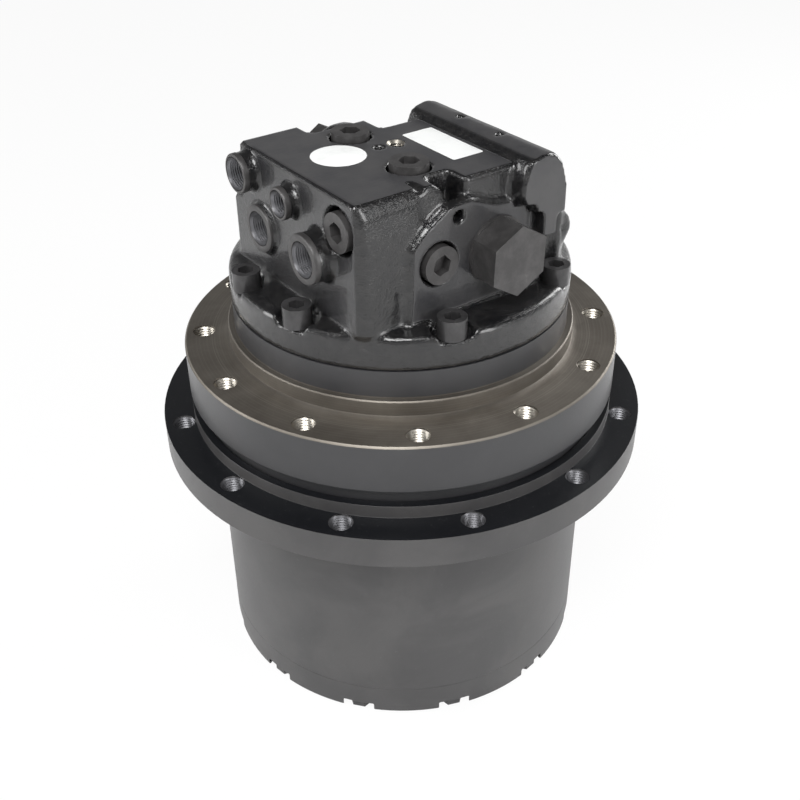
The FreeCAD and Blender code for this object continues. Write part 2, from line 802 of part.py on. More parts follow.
def make_brake():
    """Wet parking brake: plates held to the case, discs that turn with the cylinder block, piston, spring."""
    step = size("brake_disc_thickness + face_gap")
    thick = size("brake_disc_thickness")
    ledge = size("brake_ledge")
    plates, discs = [], []
    for number in range(2):
        low = ledge + 2 * number * step
        plate = cylinder(size("case_bore - case_fit"), thick, z=low)
        plates.append(plate.cut(cylinder(size("brake_plate_bore"), thick, z=low)))
        disc = cylinder(size("brake_disc_radius"), thick, z=low + step)
        discs.append(disc.cut(cylinder(size("block_radius"), thick, z=low + step)))
    fixed_shape("brake_plates", Part.makeCompound(plates))
    fixed_shape("brake_discs", Part.makeCompound(discs))
    bottom = f"(brake_ledge + 4 * (brake_disc_thickness + face_gap))"
    top = f"({bottom} + brake_piston_height)"
    body = new_body("brake_piston")
    turned(
        body,
        "brake_piston_turned",
        [
            ("brake_piston_bore", bottom),
            ("case_bore - 5", bottom),
            ("case_bore - 5", f"{bottom} + 8"),
            ("case_bore - case_fit", f"{bottom} + 8"),
            ("case_bore - case_fit", top),
            ("brake_piston_bore", top),
        ],
    )
    body = new_body("brake_spring")
    spring_bottom = f"({top} + face_gap)"
    spring_top = f"({PILOT_BOTTOM} - face_gap)"
    turned(
        body,
        "brake_spring_turned",
        [
            ("brake_piston_bore + 2", spring_bottom),
            ("brake_piston_bore + 2 + brake_spring_thickness", spring_bottom),
            ("case_bore - 3", spring_top),
            ("case_bore - 3 - brake_spring_thickness", spring_top),
        ],
    )


# --------------------------------------------------------------------------------------------------
# Bearings and face seal
# --------------------------------------------------------------------------------------------------
def make_bearings_and_seals():
    for name, foot in (("lower", "bearing_seat"), ("upper", BEARING_MID)):
        top = f"{foot} + bearing_width"
        ring(f"bearing_inner_{name}", "bearing_inner", "bearing_inner + race_thickness", foot, top)
        ring(f"bearing_outer_{name}", "bearing_outer - race_thickness", "bearing_outer", foot, top)
        ring(
            f"bearing_rollers_{name}", "bearing_inner + race_thickness + face_gap",
            "bearing_outer - race_thickness - face_gap", f"{foot} + 3", f"{top} - 3",
        )
    ring("bearing_lock_nut", "spindle_nose_radius", "lip_bore - 5", "bearing_seat - 10", "bearing_seat")
    middle = f"{SKIRT_BOTTOM} - face_gap / 2"
    low = f"{SPROCKET_TOP} + 2.5 - seal_ring_height"
    ring("seal_ring_turning", "seal_ring_inner", "seal_ring_outer", low, middle)
    ring("seal_rubber_turning", "seal_ring_outer", "seal_bore", f"{low} - 3", f"{middle} - 4")
    high = f"{SKIRT_BOTTOM} + seal_ring_height"
    ring("seal_ring_fixed", "seal_ring_inner", "seal_ring_outer", f"{SKIRT_BOTTOM} + face_gap / 2", high)
    ring("seal_rubber_fixed", "seal_ring_outer", "seal_bore", f"{SKIRT_BOTTOM} + 4", f"{high} + 3")
    ring("shaft_seal", "shaft_radius + running_fit", "shaft_seal_radius", "spindle_bottom + 1",
         "spindle_bottom + 1 + shaft_seal_width")
    ring("shaft_bearing_front", "shaft_radius + running_fit", "front_bearing_radius",
         "case_floor - front_bearing_width - 4", "case_floor - 4")
    ring("shaft_bearing_rear", "shaft_journal + running_fit", "rear_bearing_radius",
         f"{PILOT_BOTTOM} + 2", f"{PILOT_BOTTOM} + 2 + rear_bearing_width")
    ring("valve_plate", "rear_bearing_radius - 4", "valve_plate_radius", VALVE_PLATE_BOTTOM, VALVE_PLATE_TOP)


# --------------------------------------------------------------------------------------------------
# Valve block
# --------------------------------------------------------------------------------------------------
BASE_BOLT_ANGLES = (166, -162, -109, -55, -8, 38, 80, 122)
# Oil ports on the port face: across, height, bore radius, boss radius, boss height, depth.
OIL_PORTS = {
    "main_left": ("25.5", "351", "port_radius", "port_boss_radius", "4"),
    "main_right": ("-45.5", "359.5", "port_radius", "port_boss_radius", "14"),
    "drain": ("39.8 - 2", "386.9", "drain_port_radius", "drain_boss_radius", "11"),
    "pilot": ("-13.2", "383.6", "pilot_port_radius", "pilot_boss_radius", "10"),
}
# Socket-head gallery plugs: two on the top face, one on the port face, one on the front wall.
TOP_PLUGS = ((-29.5, 13.2), (-29.9, -51.9))


def make_valve_block():
    """Cast valve block: bolted base, round casing, port block, counterbalance bosses and top bar."""
    body = new_body("valve_block")
    turned(
        body,
        "block_base",
        [
            ("rear_bearing_radius", VALVE_PLATE_TOP),
            ("valve_plate_radius + 2", VALVE_PLATE_TOP),
            ("valve_plate_radius + 2", PILOT_BOTTOM),
            ("case_bore - case_fit", PILOT_BOTTOM),
            ("case_bore - case_fit", HUB_TOP),
            ("base_flange_radius", HUB_TOP),
            ("base_flange_radius", f"{BASE_TOP} - 2.5"),
            ("base_flange_radius - 2.5", BASE_TOP),
            ("casing_radius", f"{BASE_TOP} + 2"),
            ("casing_radius", "casing_top - 4"),
            ("casing_radius - 4", "casing_top"),
            ("0", "casing_top"),
            ("0", f"{PILOT_BOTTOM} + rear_bearing_width + 3"),
            ("rear_bearing_radius", f"{PILOT_BOTTOM} + rear_bearing_width + 3"),
        ],
    )
    trim = f"casing_top - {BASE_TOP}"
    cuts = {
        "front": ("-130", "-130", "130", "-front_wall"),
        "port_side": ("-130", "-130", "-port_face", "130"),
        "rear": ("valve_axis_x - 34", "valve_boss_face", "valve_axis_x + 34", "130"),
    }
    for name, (left, near, right, far) in cuts.items():
        sketch = new_sketch(body, f"{name}_trim_plan", "XY_Plane", "casing_top")
        add_outline(sketch, [(left, near), (right, near), (right, far), (left, far)])
        pocketed(body, f"{name}_trim", sketch, trim)
    # The port block, the bridge behind the front gallery and the centre block, each a section along X.
    wall = [("-front_wall", BASE_TOP), ("-front_wall", "block_top - shoulder_drop")]
    sections = {
        "port_block": ("-port_face", "port_face - 47", wall + [
            ("-(front_wall - shoulder_inset / 3)", "block_top - shoulder_drop / 3"),
            ("-(front_wall - shoulder_inset)", "block_top"),
            ("block_back", "block_top"), ("block_back", BASE_TOP)]),
        "bridge": ("-50", "50 - 4", wall + [
            ("-69.5", "block_top - shoulder_drop"), ("-69.5", "block_top"), ("34", "block_top"), ("34", BASE_TOP)]),
        "centre_block": ("-14", "14 + bar_inner + 2", [
            ("-front_wall", BASE_TOP), ("-front_wall", "block_top"), ("13.5", "block_top"), ("13.5", BASE_TOP)]),
    }
    for name, (start, length, outline) in sections.items():
        sketch = new_sketch(body, f"{name}_section", "YZ_Plane", start)
        add_outline(sketch, outline)
        padded(body, f"{name}_pad", sketch, length)
    # The long bar that closes the block on its right.
    sketch = new_sketch(body, "bar_section", "XZ_Plane", "bar_front")
    add_outline(sketch, [
        ("bar_inner + 18", "bar_bottom"), ("bar_inner + 18", "bar_bottom + 20"), ("bar_inner", "bar_top - 28"),
        ("bar_inner", "bar_top - 17.5"), ("bar_inner + 5", "bar_top - 4.4"),
        ("bar_inner + 10.5", "bar_top - 1.2"), ("bar_inner + 19", "bar_top"), ("bar_outer - 12", "bar_top - 1.8"),
        ("bar_outer - 5.3", "bar_top - 9"), ("bar_outer - 1", "bar_top - 22"), ("bar_outer", "bar_top - 36"),
        ("bar_outer", "bar_bottom + 6"), ("bar_outer - 6", "bar_bottom")])
    padded(body, "bar_pad", sketch, "bar_length", reverse=True)
    # Web under the bar, and the wall that carries the counterbalance bore.
    sketch = new_sketch(body, "bar_web_plan", "XY_Plane", BASE_TOP)
    add_outline(sketch, [("10", "-front_wall"), ("bar_outer - 8", "-front_wall"), ("bar_outer - 3", "-70"),
                         ("bar_outer - 3", "bar_length - bar_front - 6"), ("10", "bar_length - bar_front - 6")])
    padded(body, "bar_web", sketch, f"bar_bottom + 24 - {BASE_TOP}")
    for name, side in (("front", 1), ("rear", -1)):
        sketch = new_sketch(body, f"valve_boss_{name}_plan", "XZ_Plane", f"{side} * valve_boss_face")
        add_circle(sketch, ("valve_axis_x", "valve_axis_height"), "valve_boss_radius")
        padded(body, f"valve_boss_{name}", sketch, "24" if side > 0 else "70", reverse=side > 0)
    # Boss plate on the front wall with an ear at each end, and the neck of the right ear.
    sketch = new_sketch(body, "boss_plate_plan", "XZ_Plane", "valve_boss_face")
    add_outline(sketch, [("-58", "318"), ("60", "318"), ("60", "338"), ("34", "372"), ("-14", "391"),
                         ("-29", "389"), ("-46", "378"), ("-58", "366")])
    padded(body, "boss_plate", sketch, "10", reverse=True)
    sketch = new_sketch(body, "right_ear_plan", "XZ_Plane", "80")
    add_circle(sketch, ("74", "342"), "12.5")
    padded(body, "right_ear", sketch, "26", reverse=True)
    sketch = new_sketch(body, "right_neck_plan", "XZ_Plane", "78")
    add_outline(sketch, [("50", f"{BASE_TOP} - 4"), ("80", f"{BASE_TOP} - 4"), ("84", "336"), ("66", "352"),
                         ("50", "352")])
    padded(body, "right_neck", sketch, "22", reverse=True)
    sketch = new_sketch(body, "gallery_boss_plan", "XZ_Plane", "85")
    add_circle(sketch, ("-38", "391"), "11.5")
    padded(body, "gallery_boss", sketch, "20", reverse=True)
    for name, (across, height, bore, boss, proud) in OIL_PORTS.items():
        sketch = new_sketch(body, f"{name}_boss_plan", "YZ_Plane", f"-port_face - {proud}")
        add_circle(sketch, (across, height), boss)
        padded(body, f"{name}_boss", sketch, f"{proud} + 6")
    cut_valve_block(body)
    return body


def cut_valve_block(body):
    """Rounded corner, ports, plug recesses, spool bores, bolt holes and spot-faces of the valve block."""
    sketch = new_sketch(body, "corner_plan", "XY_Plane", "block_top")
    rounded = [
        (f"-port_face + block_corner * (1 - cos({turn}deg))", f"-front_wall + block_corner * (1 - sin({turn}deg))")
        for turn in (0, 30, 60, 90)
    ]
    outside = [("-port_face + block_corner", "-front_wall - 2"), ("-port_face - 2", "-front_wall - 2"),
               ("-port_face - 2", "-front_wall + block_corner")]
    add_outline(sketch, rounded + outside)
    pocketed(body, "corner", sketch, f"block_top - {BASE_TOP}")
    for name, (across, height, bore, boss, proud) in OIL_PORTS.items():
        sketch = new_sketch(body, f"{name}_plan", "YZ_Plane", f"-port_face - {proud}")
        add_circle(sketch, (across, height), bore)
        pocketed(body, name, sketch, "port_depth", reverse=True)
    sketch = new_sketch(body, "valley_plan", "XZ_Plane", "valve_boss_face")
    add_outline(sketch, [("-66", "324"), ("-58", "321"), ("-56", "365"), ("-63", "376"), ("-67", "366")])
    pocketed(body, "valley", sketch, "12")
    # Round holes along Y: name, across, height, radius, start on Y, depth.
    for name, across, height, radius, start, depth in (
        ("valve_bore", "valve_axis_x", "valve_axis_height", "spool_radius + running_fit", "valve_boss_face",
         "2 * valve_boss_face"),
        ("valve_mouth_front", "valve_axis_x", "valve_axis_height", "hex_plug_thread", "valve_boss_face",
         "valve_boss_face - spool_length / 2"),
        ("front_gallery", "-36", "354", "gallery_recess", "valve_boss_face", "gallery_depth"),
        ("left_ear_hole", "-21", "381", "4", "valve_boss_face", "10"),
        ("right_ear_hole", "74", "342", "5", "80", "26"),
    ):
        sketch = new_sketch(body, f"{name}_plan", "XZ_Plane", start)
        add_circle(sketch, (across, height), radius)
        pocketed(body, name, sketch, depth)
    sketch = new_sketch(body, "speed_spool_bore_plan", "XZ_Plane", "bar_front - bar_length")
    add_circle(sketch, ("speed_spool_offset", "speed_spool_height"), "speed_spool_radius + running_fit")
    pocketed(body, "speed_spool_bore", sketch, "78", reverse=True)
    sketch = new_sketch(body, "valve_mouth_rear_plan", "XZ_Plane", "-valve_boss_face")
    add_circle(sketch, ("valve_axis_x", "valve_axis_height"), "hex_plug_thread")
    pocketed(body, "valve_mouth_rear", sketch, "valve_boss_face - spool_length / 2", reverse=True)
    # Holes down from the top face and the bar: name, x, y, radius, top, depth.
    for name, x, y, radius, top, depth in (
        ("top_gallery_one", TOP_PLUGS[0][0], TOP_PLUGS[0][1], "gallery_recess", "block_top", "gallery_depth"),
        ("top_gallery_two", TOP_PLUGS[1][0], TOP_PLUGS[1][1], "gallery_recess", "block_top", "gallery_depth"),
        ("dowel_hole", "-25.9", "-14.4", "3.7", "block_top", "12"),
        ("lifting_hole", "-13.2", "-15.3", "5.1", "block_top", "20"),
        ("bar_hole_one", "41", "-14", "2.6", "bar_top", "12"),
        ("bar_hole_two", "40", "-55", "2.6", "bar_top", "12"),
    ):
        sketch = new_sketch(body, f"{name}_plan", "XY_Plane", top)
        add_circle(sketch, (str(x), str(y)), radius)
        pocketed(body, name, sketch, depth)
    sketch = new_sketch(body, "port_plug_plan", "YZ_Plane", "-port_face")
    add_circle(sketch, ("-66", "381.6"), "gallery_recess + 0.8")
    pocketed(body, "port_plug_recess", sketch, "gallery_depth", reverse=True)
    for number, angle in enumerate(BASE_BOLT_ANGLES):
        place = (f"base_bolt_circle * cos({angle}deg)", f"base_bolt_circle * sin({angle}deg)")
        sketch = new_sketch(body, f"base_spotface_plan_{number}", "XY_Plane", "casing_top")
        add_circle(sketch, place, "base_spotface")
        pocketed(body, f"base_spotface_{number}", sketch, f"casing_top - {BASE_TOP} + base_spotface_depth")
        sketch = new_sketch(body, f"base_hole_plan_{number}", "XY_Plane", BASE_TOP)
        add_circle(sketch, place, "base_bolt_radius + 0.3")
        pocketed(body, f"base_hole_{number}", sketch, "base_flange_height")


def make_block_bolts():
    """Socket cap screws through the base flange into the spindle's hub."""
    seat = size(f"{BASE_TOP} - base_spotface_depth")
    head, height = size("base_bolt_head"), size("base_bolt_head_height")
    solids = []
    for angle in BASE_BOLT_ANGLES:
        x = size("base_bolt_circle") * math.cos(math.radians(angle))
        y = size("base_bolt_circle") * math.sin(math.radians(angle))
        bolt = cylinder(head, height, x, y, seat)
        bottom = size(HUB_TOP) + 0.3
        bolt = bolt.fuse(cylinder(size("base_bolt_radius"), seat - bottom, x, y, bottom))
        solids.append(bolt.cut(hexagon(10.0, 7.0, (x, y, seat + height - 7.0), (0, 0, 1))))
    return fixed_shape("valve_block_bolts", Part.makeCompound(solids))


def make_counterbalance():
    """The counterbalance spool across the block, with a spring and a hexagon plug at each end."""
    x, z = size("valve_axis_x"), size("valve_axis_height")
    half = size("spool_length") / 2
    spool = cylinder(size("spool_radius"), 2 * half, x, -half, z, (0, 1, 0))
    for y in (-half * 0.55, half * 0.35):
        groove = cylinder(size("spool_radius"), 7.0, x, y, z, (0, 1, 0))
        spool = spool.cut(groove.cut(cylinder(size("spool_radius") - 3.5, 7.0, x, y, z, (0, 1, 0))))
    fixed_shape("counterbalance_spool", spool)
    face = size("valve_boss_face")
    inner = face - size("hex_plug_thread_length")
    for name, side in (("front", -1), ("rear", 1)):
        out = (0, side, 0)
        plug = hexagon(size("hex_plug_flats"), size("hex_plug_height"), (x, side * (face + 2), z), out, 28.0)
        plug = plug.fuse(cylinder(size("hex_plug_collar"), 2.0, x, side * face, z, out))
        thread = cylinder(size("hex_plug_thread - running_fit"), face - inner, x, side * inner, z, out)
        fixed_shape(f"counterbalance_plug_{name}", plug.fuse(thread))
        gap = size("face_gap")
        length = inner - half - size("spool_travel") - gap
        spring = cylinder(12.0, length, x, side * (inner - length - gap / 2), z, out)
        bore = cylinder(8.5, length, x, side * (inner - length - gap / 2), z, out)
        fixed_shape(f"counterbalance_spring_{name}", spring.cut(bore))


def make_gallery_plugs():
    """Socket-head plugs that close the drilled galleries."""
    radius, height, depth = size("gallery_plug_radius"), size("gallery_plug_height"), size("gallery_depth")

    def plug(point, out, proud, turn):
        start = FreeCAD.Vector(*point) - FreeCAD.Vector(*out) * depth
        piece = Part.makeCylinder(radius, depth + proud, start, FreeCAD.Vector(*out))
        mouth = FreeCAD.Vector(*point) + FreeCAD.Vector(*out) * (proud - size("socket_depth"))
        return piece.cut(hexagon(size("socket_flats"), size("socket_depth"), tuple(mouth), out, turn))

    top = size("block_top")
    heads = [plug((x, y, top), (0, 0, 1), height, 20.0) for x, y in TOP_PLUGS]
    fixed_shape("top_gallery_plugs", Part.makeCompound(heads))
    fixed_shape("port_face_plug", plug((-size("port_face"), -66.0, 381.6), (-1, 0, 0), 2.0, 10.0))
    fixed_shape("front_gallery_plug", plug((-36.0, -size("valve_boss_face"), 354.0), (0, -1, 0), 3.0, 15.0))


def make_speed_valve():
    """Two-speed spool in the bar, its return spring and the plug that holds them, from the bar's rear end."""
    x, z, rear = size("speed_spool_offset"), size("speed_spool_height"), size("bar_length - bar_front")
    radius, length, gap = size("speed_spool_radius"), size("speed_spool_length"), size("face_gap")
    start = rear - 12.0
    back = (0, -1, 0)
    fixed_shape("two_speed_spool", cylinder(radius, length, x, start, z, back))
    spring_start = start - length - size("speed_spool_travel") - gap
    spring_length = spring_start - (rear - 78.0) - gap
    spring = cylinder(radius - 1.0, spring_length, x, spring_start, z, back)
    fixed_shape("two_speed_spring", spring.cut(cylinder(radius - 3.0, spring_length, x, spring_start, z, back)))
    plug = cylinder(radius, 11.5, x, rear, z, back)
    fixed_shape("two_speed_plug", plug.fuse(hexagon(18.0, 6.0, (x, rear, z), (0, 1, 0))))


# --------------------------------------------------------------------------------------------------
# The whole unit, checked and written out piece by piece
# --------------------------------------------------------------------------------------------------
def make_pins_and_pad():
    centre, count = size(CENTRES), size("planet_count")
    places = list(around(centre, count, 90.0))
    make_planet_pin(
        "planet_pins_first", places, size("stage_one_bottom") - 1.0,
        size("carrier_bottom + carrier_thickness"), "bottom",
    )
    make_planet_pin(
        "planet_pins_second", places, size("stage_two_bottom") - 1.0, size("case_floor") - 8.0, "bottom"
    )
    floor = size("cover_floor")
    fixed_shape("cover_thrust_pad", cylinder(14.0, size("stage_one_bottom") - 1.3 - floor, z=floor))


def make_everything():
    make_drum_housing()
    make_end_cover()
    make_cover_bolts()
    make_cover_plugs()
    make_hub_spindle()
    make_bearings_and_seals()
    make_sun_one()
    make_sun_two()
    make_carrier()
    make_planets("first", size("stage_one_bottom"), size("stage_one_width"))
    make_planets("second", size("stage_two_bottom"), size("stage_two_width"))
    make_pins_and_pad()
    make_motor_shaft()
    make_cylinder_block()
    make_pistons()
    make_swash_plate()
    make_swash_cradle()
    make_slippers()
    make_speed_piston()
    make_brake()
    make_valve_block()
    make_block_bolts()
    make_counterbalance()
    make_gallery_plugs()
    make_speed_valve()


def write_pieces():
    """Check every object and write each finished piece to a STEP file of its own."""
    for item in doc.Objects:
        if "Invalid" in item.State or "Error" in item.State:
            raise RuntimeError(f"{item.Label} did not build: {item.State}")
    os.makedirs("parts", exist_ok=True)
    working = {"drum_blank", "ring_gear_space"}
    for item in doc.Objects:
        if item.TypeId not in ("PartDesign::Body", "Part::Feature", "Part::Cut") or item.Label in working:
            continue
        shape = item.Shape
        if shape.isNull() or not shape.isValid():
            raise RuntimeError(f"{item.Label} has no valid shape")
        shape.exportStep(f"parts/{item.Label}.step")
        print("wrote", item.Label)


make_everything()
doc.recompute()
write_pieces()
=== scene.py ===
"""Looks for the excavator final drive: turned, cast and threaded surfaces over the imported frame.

Lengths are metres in the row frame: Z is the axis of rotation, the end cover rests at Z = 0,
the oil ports face -X and the large hexagon plug faces -Y.
"""

import json
import math

import bmesh
import bpy
import numpy as np
from mathutils import Matrix, Vector

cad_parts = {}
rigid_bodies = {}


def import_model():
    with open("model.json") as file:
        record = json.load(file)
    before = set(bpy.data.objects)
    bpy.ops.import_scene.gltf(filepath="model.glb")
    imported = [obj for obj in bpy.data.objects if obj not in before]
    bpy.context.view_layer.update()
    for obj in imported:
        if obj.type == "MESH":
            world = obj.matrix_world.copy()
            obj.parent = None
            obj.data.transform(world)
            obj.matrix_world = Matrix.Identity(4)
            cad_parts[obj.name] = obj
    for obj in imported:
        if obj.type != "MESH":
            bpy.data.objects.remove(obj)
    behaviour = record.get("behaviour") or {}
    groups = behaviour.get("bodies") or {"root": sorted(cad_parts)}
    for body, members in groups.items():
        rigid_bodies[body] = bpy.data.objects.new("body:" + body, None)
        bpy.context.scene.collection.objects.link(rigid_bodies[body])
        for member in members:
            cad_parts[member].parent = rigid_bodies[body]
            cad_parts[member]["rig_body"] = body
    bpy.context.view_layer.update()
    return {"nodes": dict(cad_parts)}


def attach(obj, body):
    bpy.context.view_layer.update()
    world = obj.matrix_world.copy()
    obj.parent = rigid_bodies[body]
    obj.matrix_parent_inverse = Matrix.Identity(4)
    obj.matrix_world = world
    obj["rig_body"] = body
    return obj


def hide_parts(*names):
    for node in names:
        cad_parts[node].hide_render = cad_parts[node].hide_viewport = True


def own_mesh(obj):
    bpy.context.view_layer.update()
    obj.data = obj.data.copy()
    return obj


bl_info = {
    "name": "Final drive looks",
    "version": (1, 0, 0),
    "blender": (4, 5, 0),
    "location": "View3D > Sidebar > Final drive",
    "description": "Builds the visible surfaces, materials and studio of a final drive",
    "category": "Object",
}

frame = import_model()
MM = 0.001


# ---------------------------------------------------------------------------------------------
# Settings
# ---------------------------------------------------------------------------------------------
class FinalDriveSettings(bpy.types.PropertyGroup):
    """Sizes of the finishing detail."""

    edge_break: bpy.props.FloatProperty(
        name="Edge break", description="Width of the broken edges of the drum and the spindle",
        default=0.00055, min=0.0001, max=0.002, precision=5, unit="LENGTH")
    hole_chamfer: bpy.props.FloatProperty(
        name="Hole chamfer", description="Width of the chamfer at the mouth of the tapped flange holes",
        default=0.0015, min=0.0002, max=0.003, precision=5, unit="LENGTH")
    casting_voxel: bpy.props.FloatProperty(
        name="Casting fineness", description="Edge length of the cells that the cast skin is made from",
        default=0.00165, min=0.0008, max=0.004, precision=5, unit="LENGTH")
    casting_smooth: bpy.props.IntProperty(
        name="Casting smoothing", description="Passes that round the edges of the raw casting",
        default=7, min=0, max=40)
    casting_wave: bpy.props.FloatProperty(
        name="Casting waviness", description="Height of the slight waves of the raw cast walls",
        default=0.00009, min=0.0, max=0.001, precision=5, unit="LENGTH")
    thread_pitch: bpy.props.FloatProperty(
        name="Thread pitch", description="Pitch of the threads in the holes of both flanges",
        default=0.002, min=0.0005, max=0.004, precision=5, unit="LENGTH")
    seed: bpy.props.IntProperty(
        name="Seed", description="Picks another set of waves for the cast walls", default=7, min=0)


# ---------------------------------------------------------------------------------------------
# Where things are, in millimetres where nothing else is said
# ---------------------------------------------------------------------------------------------
FRAME_TOP = 259.7
SPROCKET_TOP = 203.7
SPROCKET_BOTTOM = 181.2
# Bolt circles: radius, number of holes, clocking of the first hole in degrees.
FRAME_CIRCLE = (142.3, 12, -1.6)
SPROCKET_CIRCLE = (163.7, 12, 10.3)
FLANGE_HOLE = 8.0

# Milled faces of the valve block.
BLOCK_TOP = 403.0
BLOCK_BASE = 291.7
BLOCK_REAR = 91.0
PORT_FACE = -92.0
BOSS_PLATE = -91.0
BAR_FRONT = -100.0
# Their planes: axis, sign of the outward normal, place.
MILLED = ((2, 1, BLOCK_TOP), (0, -1, PORT_FACE), (1, -1, BOSS_PLATE), (1, -1, BAR_FRONT), (1, 1, BLOCK_REAR),
          (2, -1, BLOCK_BASE))
# Cast material added beside the boss plate and under the end of the bar: low and high corners.
FILLED = (
    ((-68.0, -86.4, 317.0), (-54.0, -78.0, 378.0)),
    ((34.6, -99.6, 371.0), (42.0, -88.0, 382.0)),
    ((24.5, -99.6, 377.5), (42.0, -88.0, 384.0)),
)

# Oil ports: name, face on X, across, height, bore radius, boss radius.
PORTS = (
    ("port_main_left", -96.0, 25.5, 351.0, 10.8, 16.2),
    ("port_main_right", -106.0, -45.5, 359.5, 10.8, 16.2),
    ("port_drain", -103.0, 37.8, 386.9, 10.2, 13.0),
    ("port_pilot", -102.0, -13.2, 383.6, 7.8, 10.5),
)
LIFTING_HOLE = (-13.2, -15.3, BLOCK_TOP)

# Stickers: middle on the top face, then radius, or width, depth and corner radius.
ROUND_STICKER = (-55.0, -11.4, 17.9)
LABEL_STICKER = (10.0, -33.5, 24.0, 55.0, 1.5)

# Bands in which one finish passes into the next, or in which the painted shade of the sprocket top and of
# the spindle step begins, in metres.
SPROCKET_TOP_BAND = (0.185, 0.19)
BARE_STEEL_FOOT = (0.2582, 0.2588)
BARE_STEEL_HEAD = (0.2732, 0.2726)
BARE_STEEL_INSIDE = (0.1190, 0.1196)
STEP_FOOT = (0.2603, 0.2611)
BAR_ROUND_TOP = (0.4065, 0.4080)
BASE_RIM = ((0.1188, 0.1192), (0.314, 0.3135))

# Studio, in metres and watts. Lights: name, place, target, width, height, power.
FLOOR_HALF = 6.0
FLOOR_HEIGHT = -0.0004
LIGHTS = (
    ("key_light", (-0.9, -0.9, 1.9), (0.0, 0.0, 0.34), 0.8, 0.8, 40.0),
    ("front_light", (0.5, -1.9, 0.8), (0.0, 0.0, 0.25), 0.5, 1.2, 18.0),
    ("right_light", (1.7, 0.0, 0.9), (0.0, 0.0, 0.2), 0.5, 1.3, 20.0),
    ("left_light", (-1.6, 0.9, 0.8), (0.0, 0.0, 0.2), 0.5, 1.3, 20.0),
)
CAMERA_PLACE = (-0.40704, -0.56438, 0.65759)
CAMERA_FORWARD = (0.48484, 0.67416, -0.55717)
CAMERA_ROLL = 0.58
CAMERA_LENS = 49.25
CAMERA_SENSOR = 36.0


# ---------------------------------------------------------------------------------------------
# Shader nodes that add and multiply like numbers
# ---------------------------------------------------------------------------------------------
class Wire:
    """One output of a shader node; arithmetic on it makes Math nodes."""

    def __init__(self, tree, socket):
        self.tree = tree
        self.socket = socket

    def math(self, operation, *others):
        node = self.tree.nodes.new("ShaderNodeMath")
        node.operation = operation
        for place, value in zip(node.inputs, (self,) + others):
            put(self.tree, value, place)
        return Wire(self.tree, node.outputs[0])

    def __add__(self, other):
        return self.math("ADD", other)

    def __radd__(self, other):
        return self.math("ADD", other)

    def __sub__(self, other):
        return self.math("SUBTRACT", other)

    def __rsub__(self, other):
        return (self * -1.0).math("ADD", other)

    def __mul__(self, other):
        return self.math("MULTIPLY", other)

    def __rmul__(self, other):
        return self.math("MULTIPLY", other)

    def __pow__(self, other):
        return self.math("POWER", other)

    def absolute(self):
        return self.math("ABSOLUTE")

    def clipped(self):
        return self.math("MAXIMUM", 0.0).math("MINIMUM", 1.0)

    def ramp(self, low, high, out_low=0.0, out_high=1.0):
        """A smooth step from out_low at low to out_high at high."""
        node = self.tree.nodes.new("ShaderNodeMapRange")
        node.interpolation_type = "SMOOTHSTEP"
        put(self.tree, self, node.inputs["Value"])
        limits = {"From Min": low, "From Max": high, "To Min": out_low, "To Max": out_high}
        for name, value in limits.items():
            put(self.tree, value, node.inputs[name])
        return Wire(self.tree, node.outputs[0])

    def near(self, value, half, soft):
        """1 within half of value, falling to 0 over soft more."""
        return (self - value).absolute().ramp(half + soft, half)


def put(tree, value, place):
    """Wire a socket in, or set a constant on the place itself."""
    if isinstance(value, Wire):
        tree.links.new(value.socket, place)
    else:
        place.default_value = value


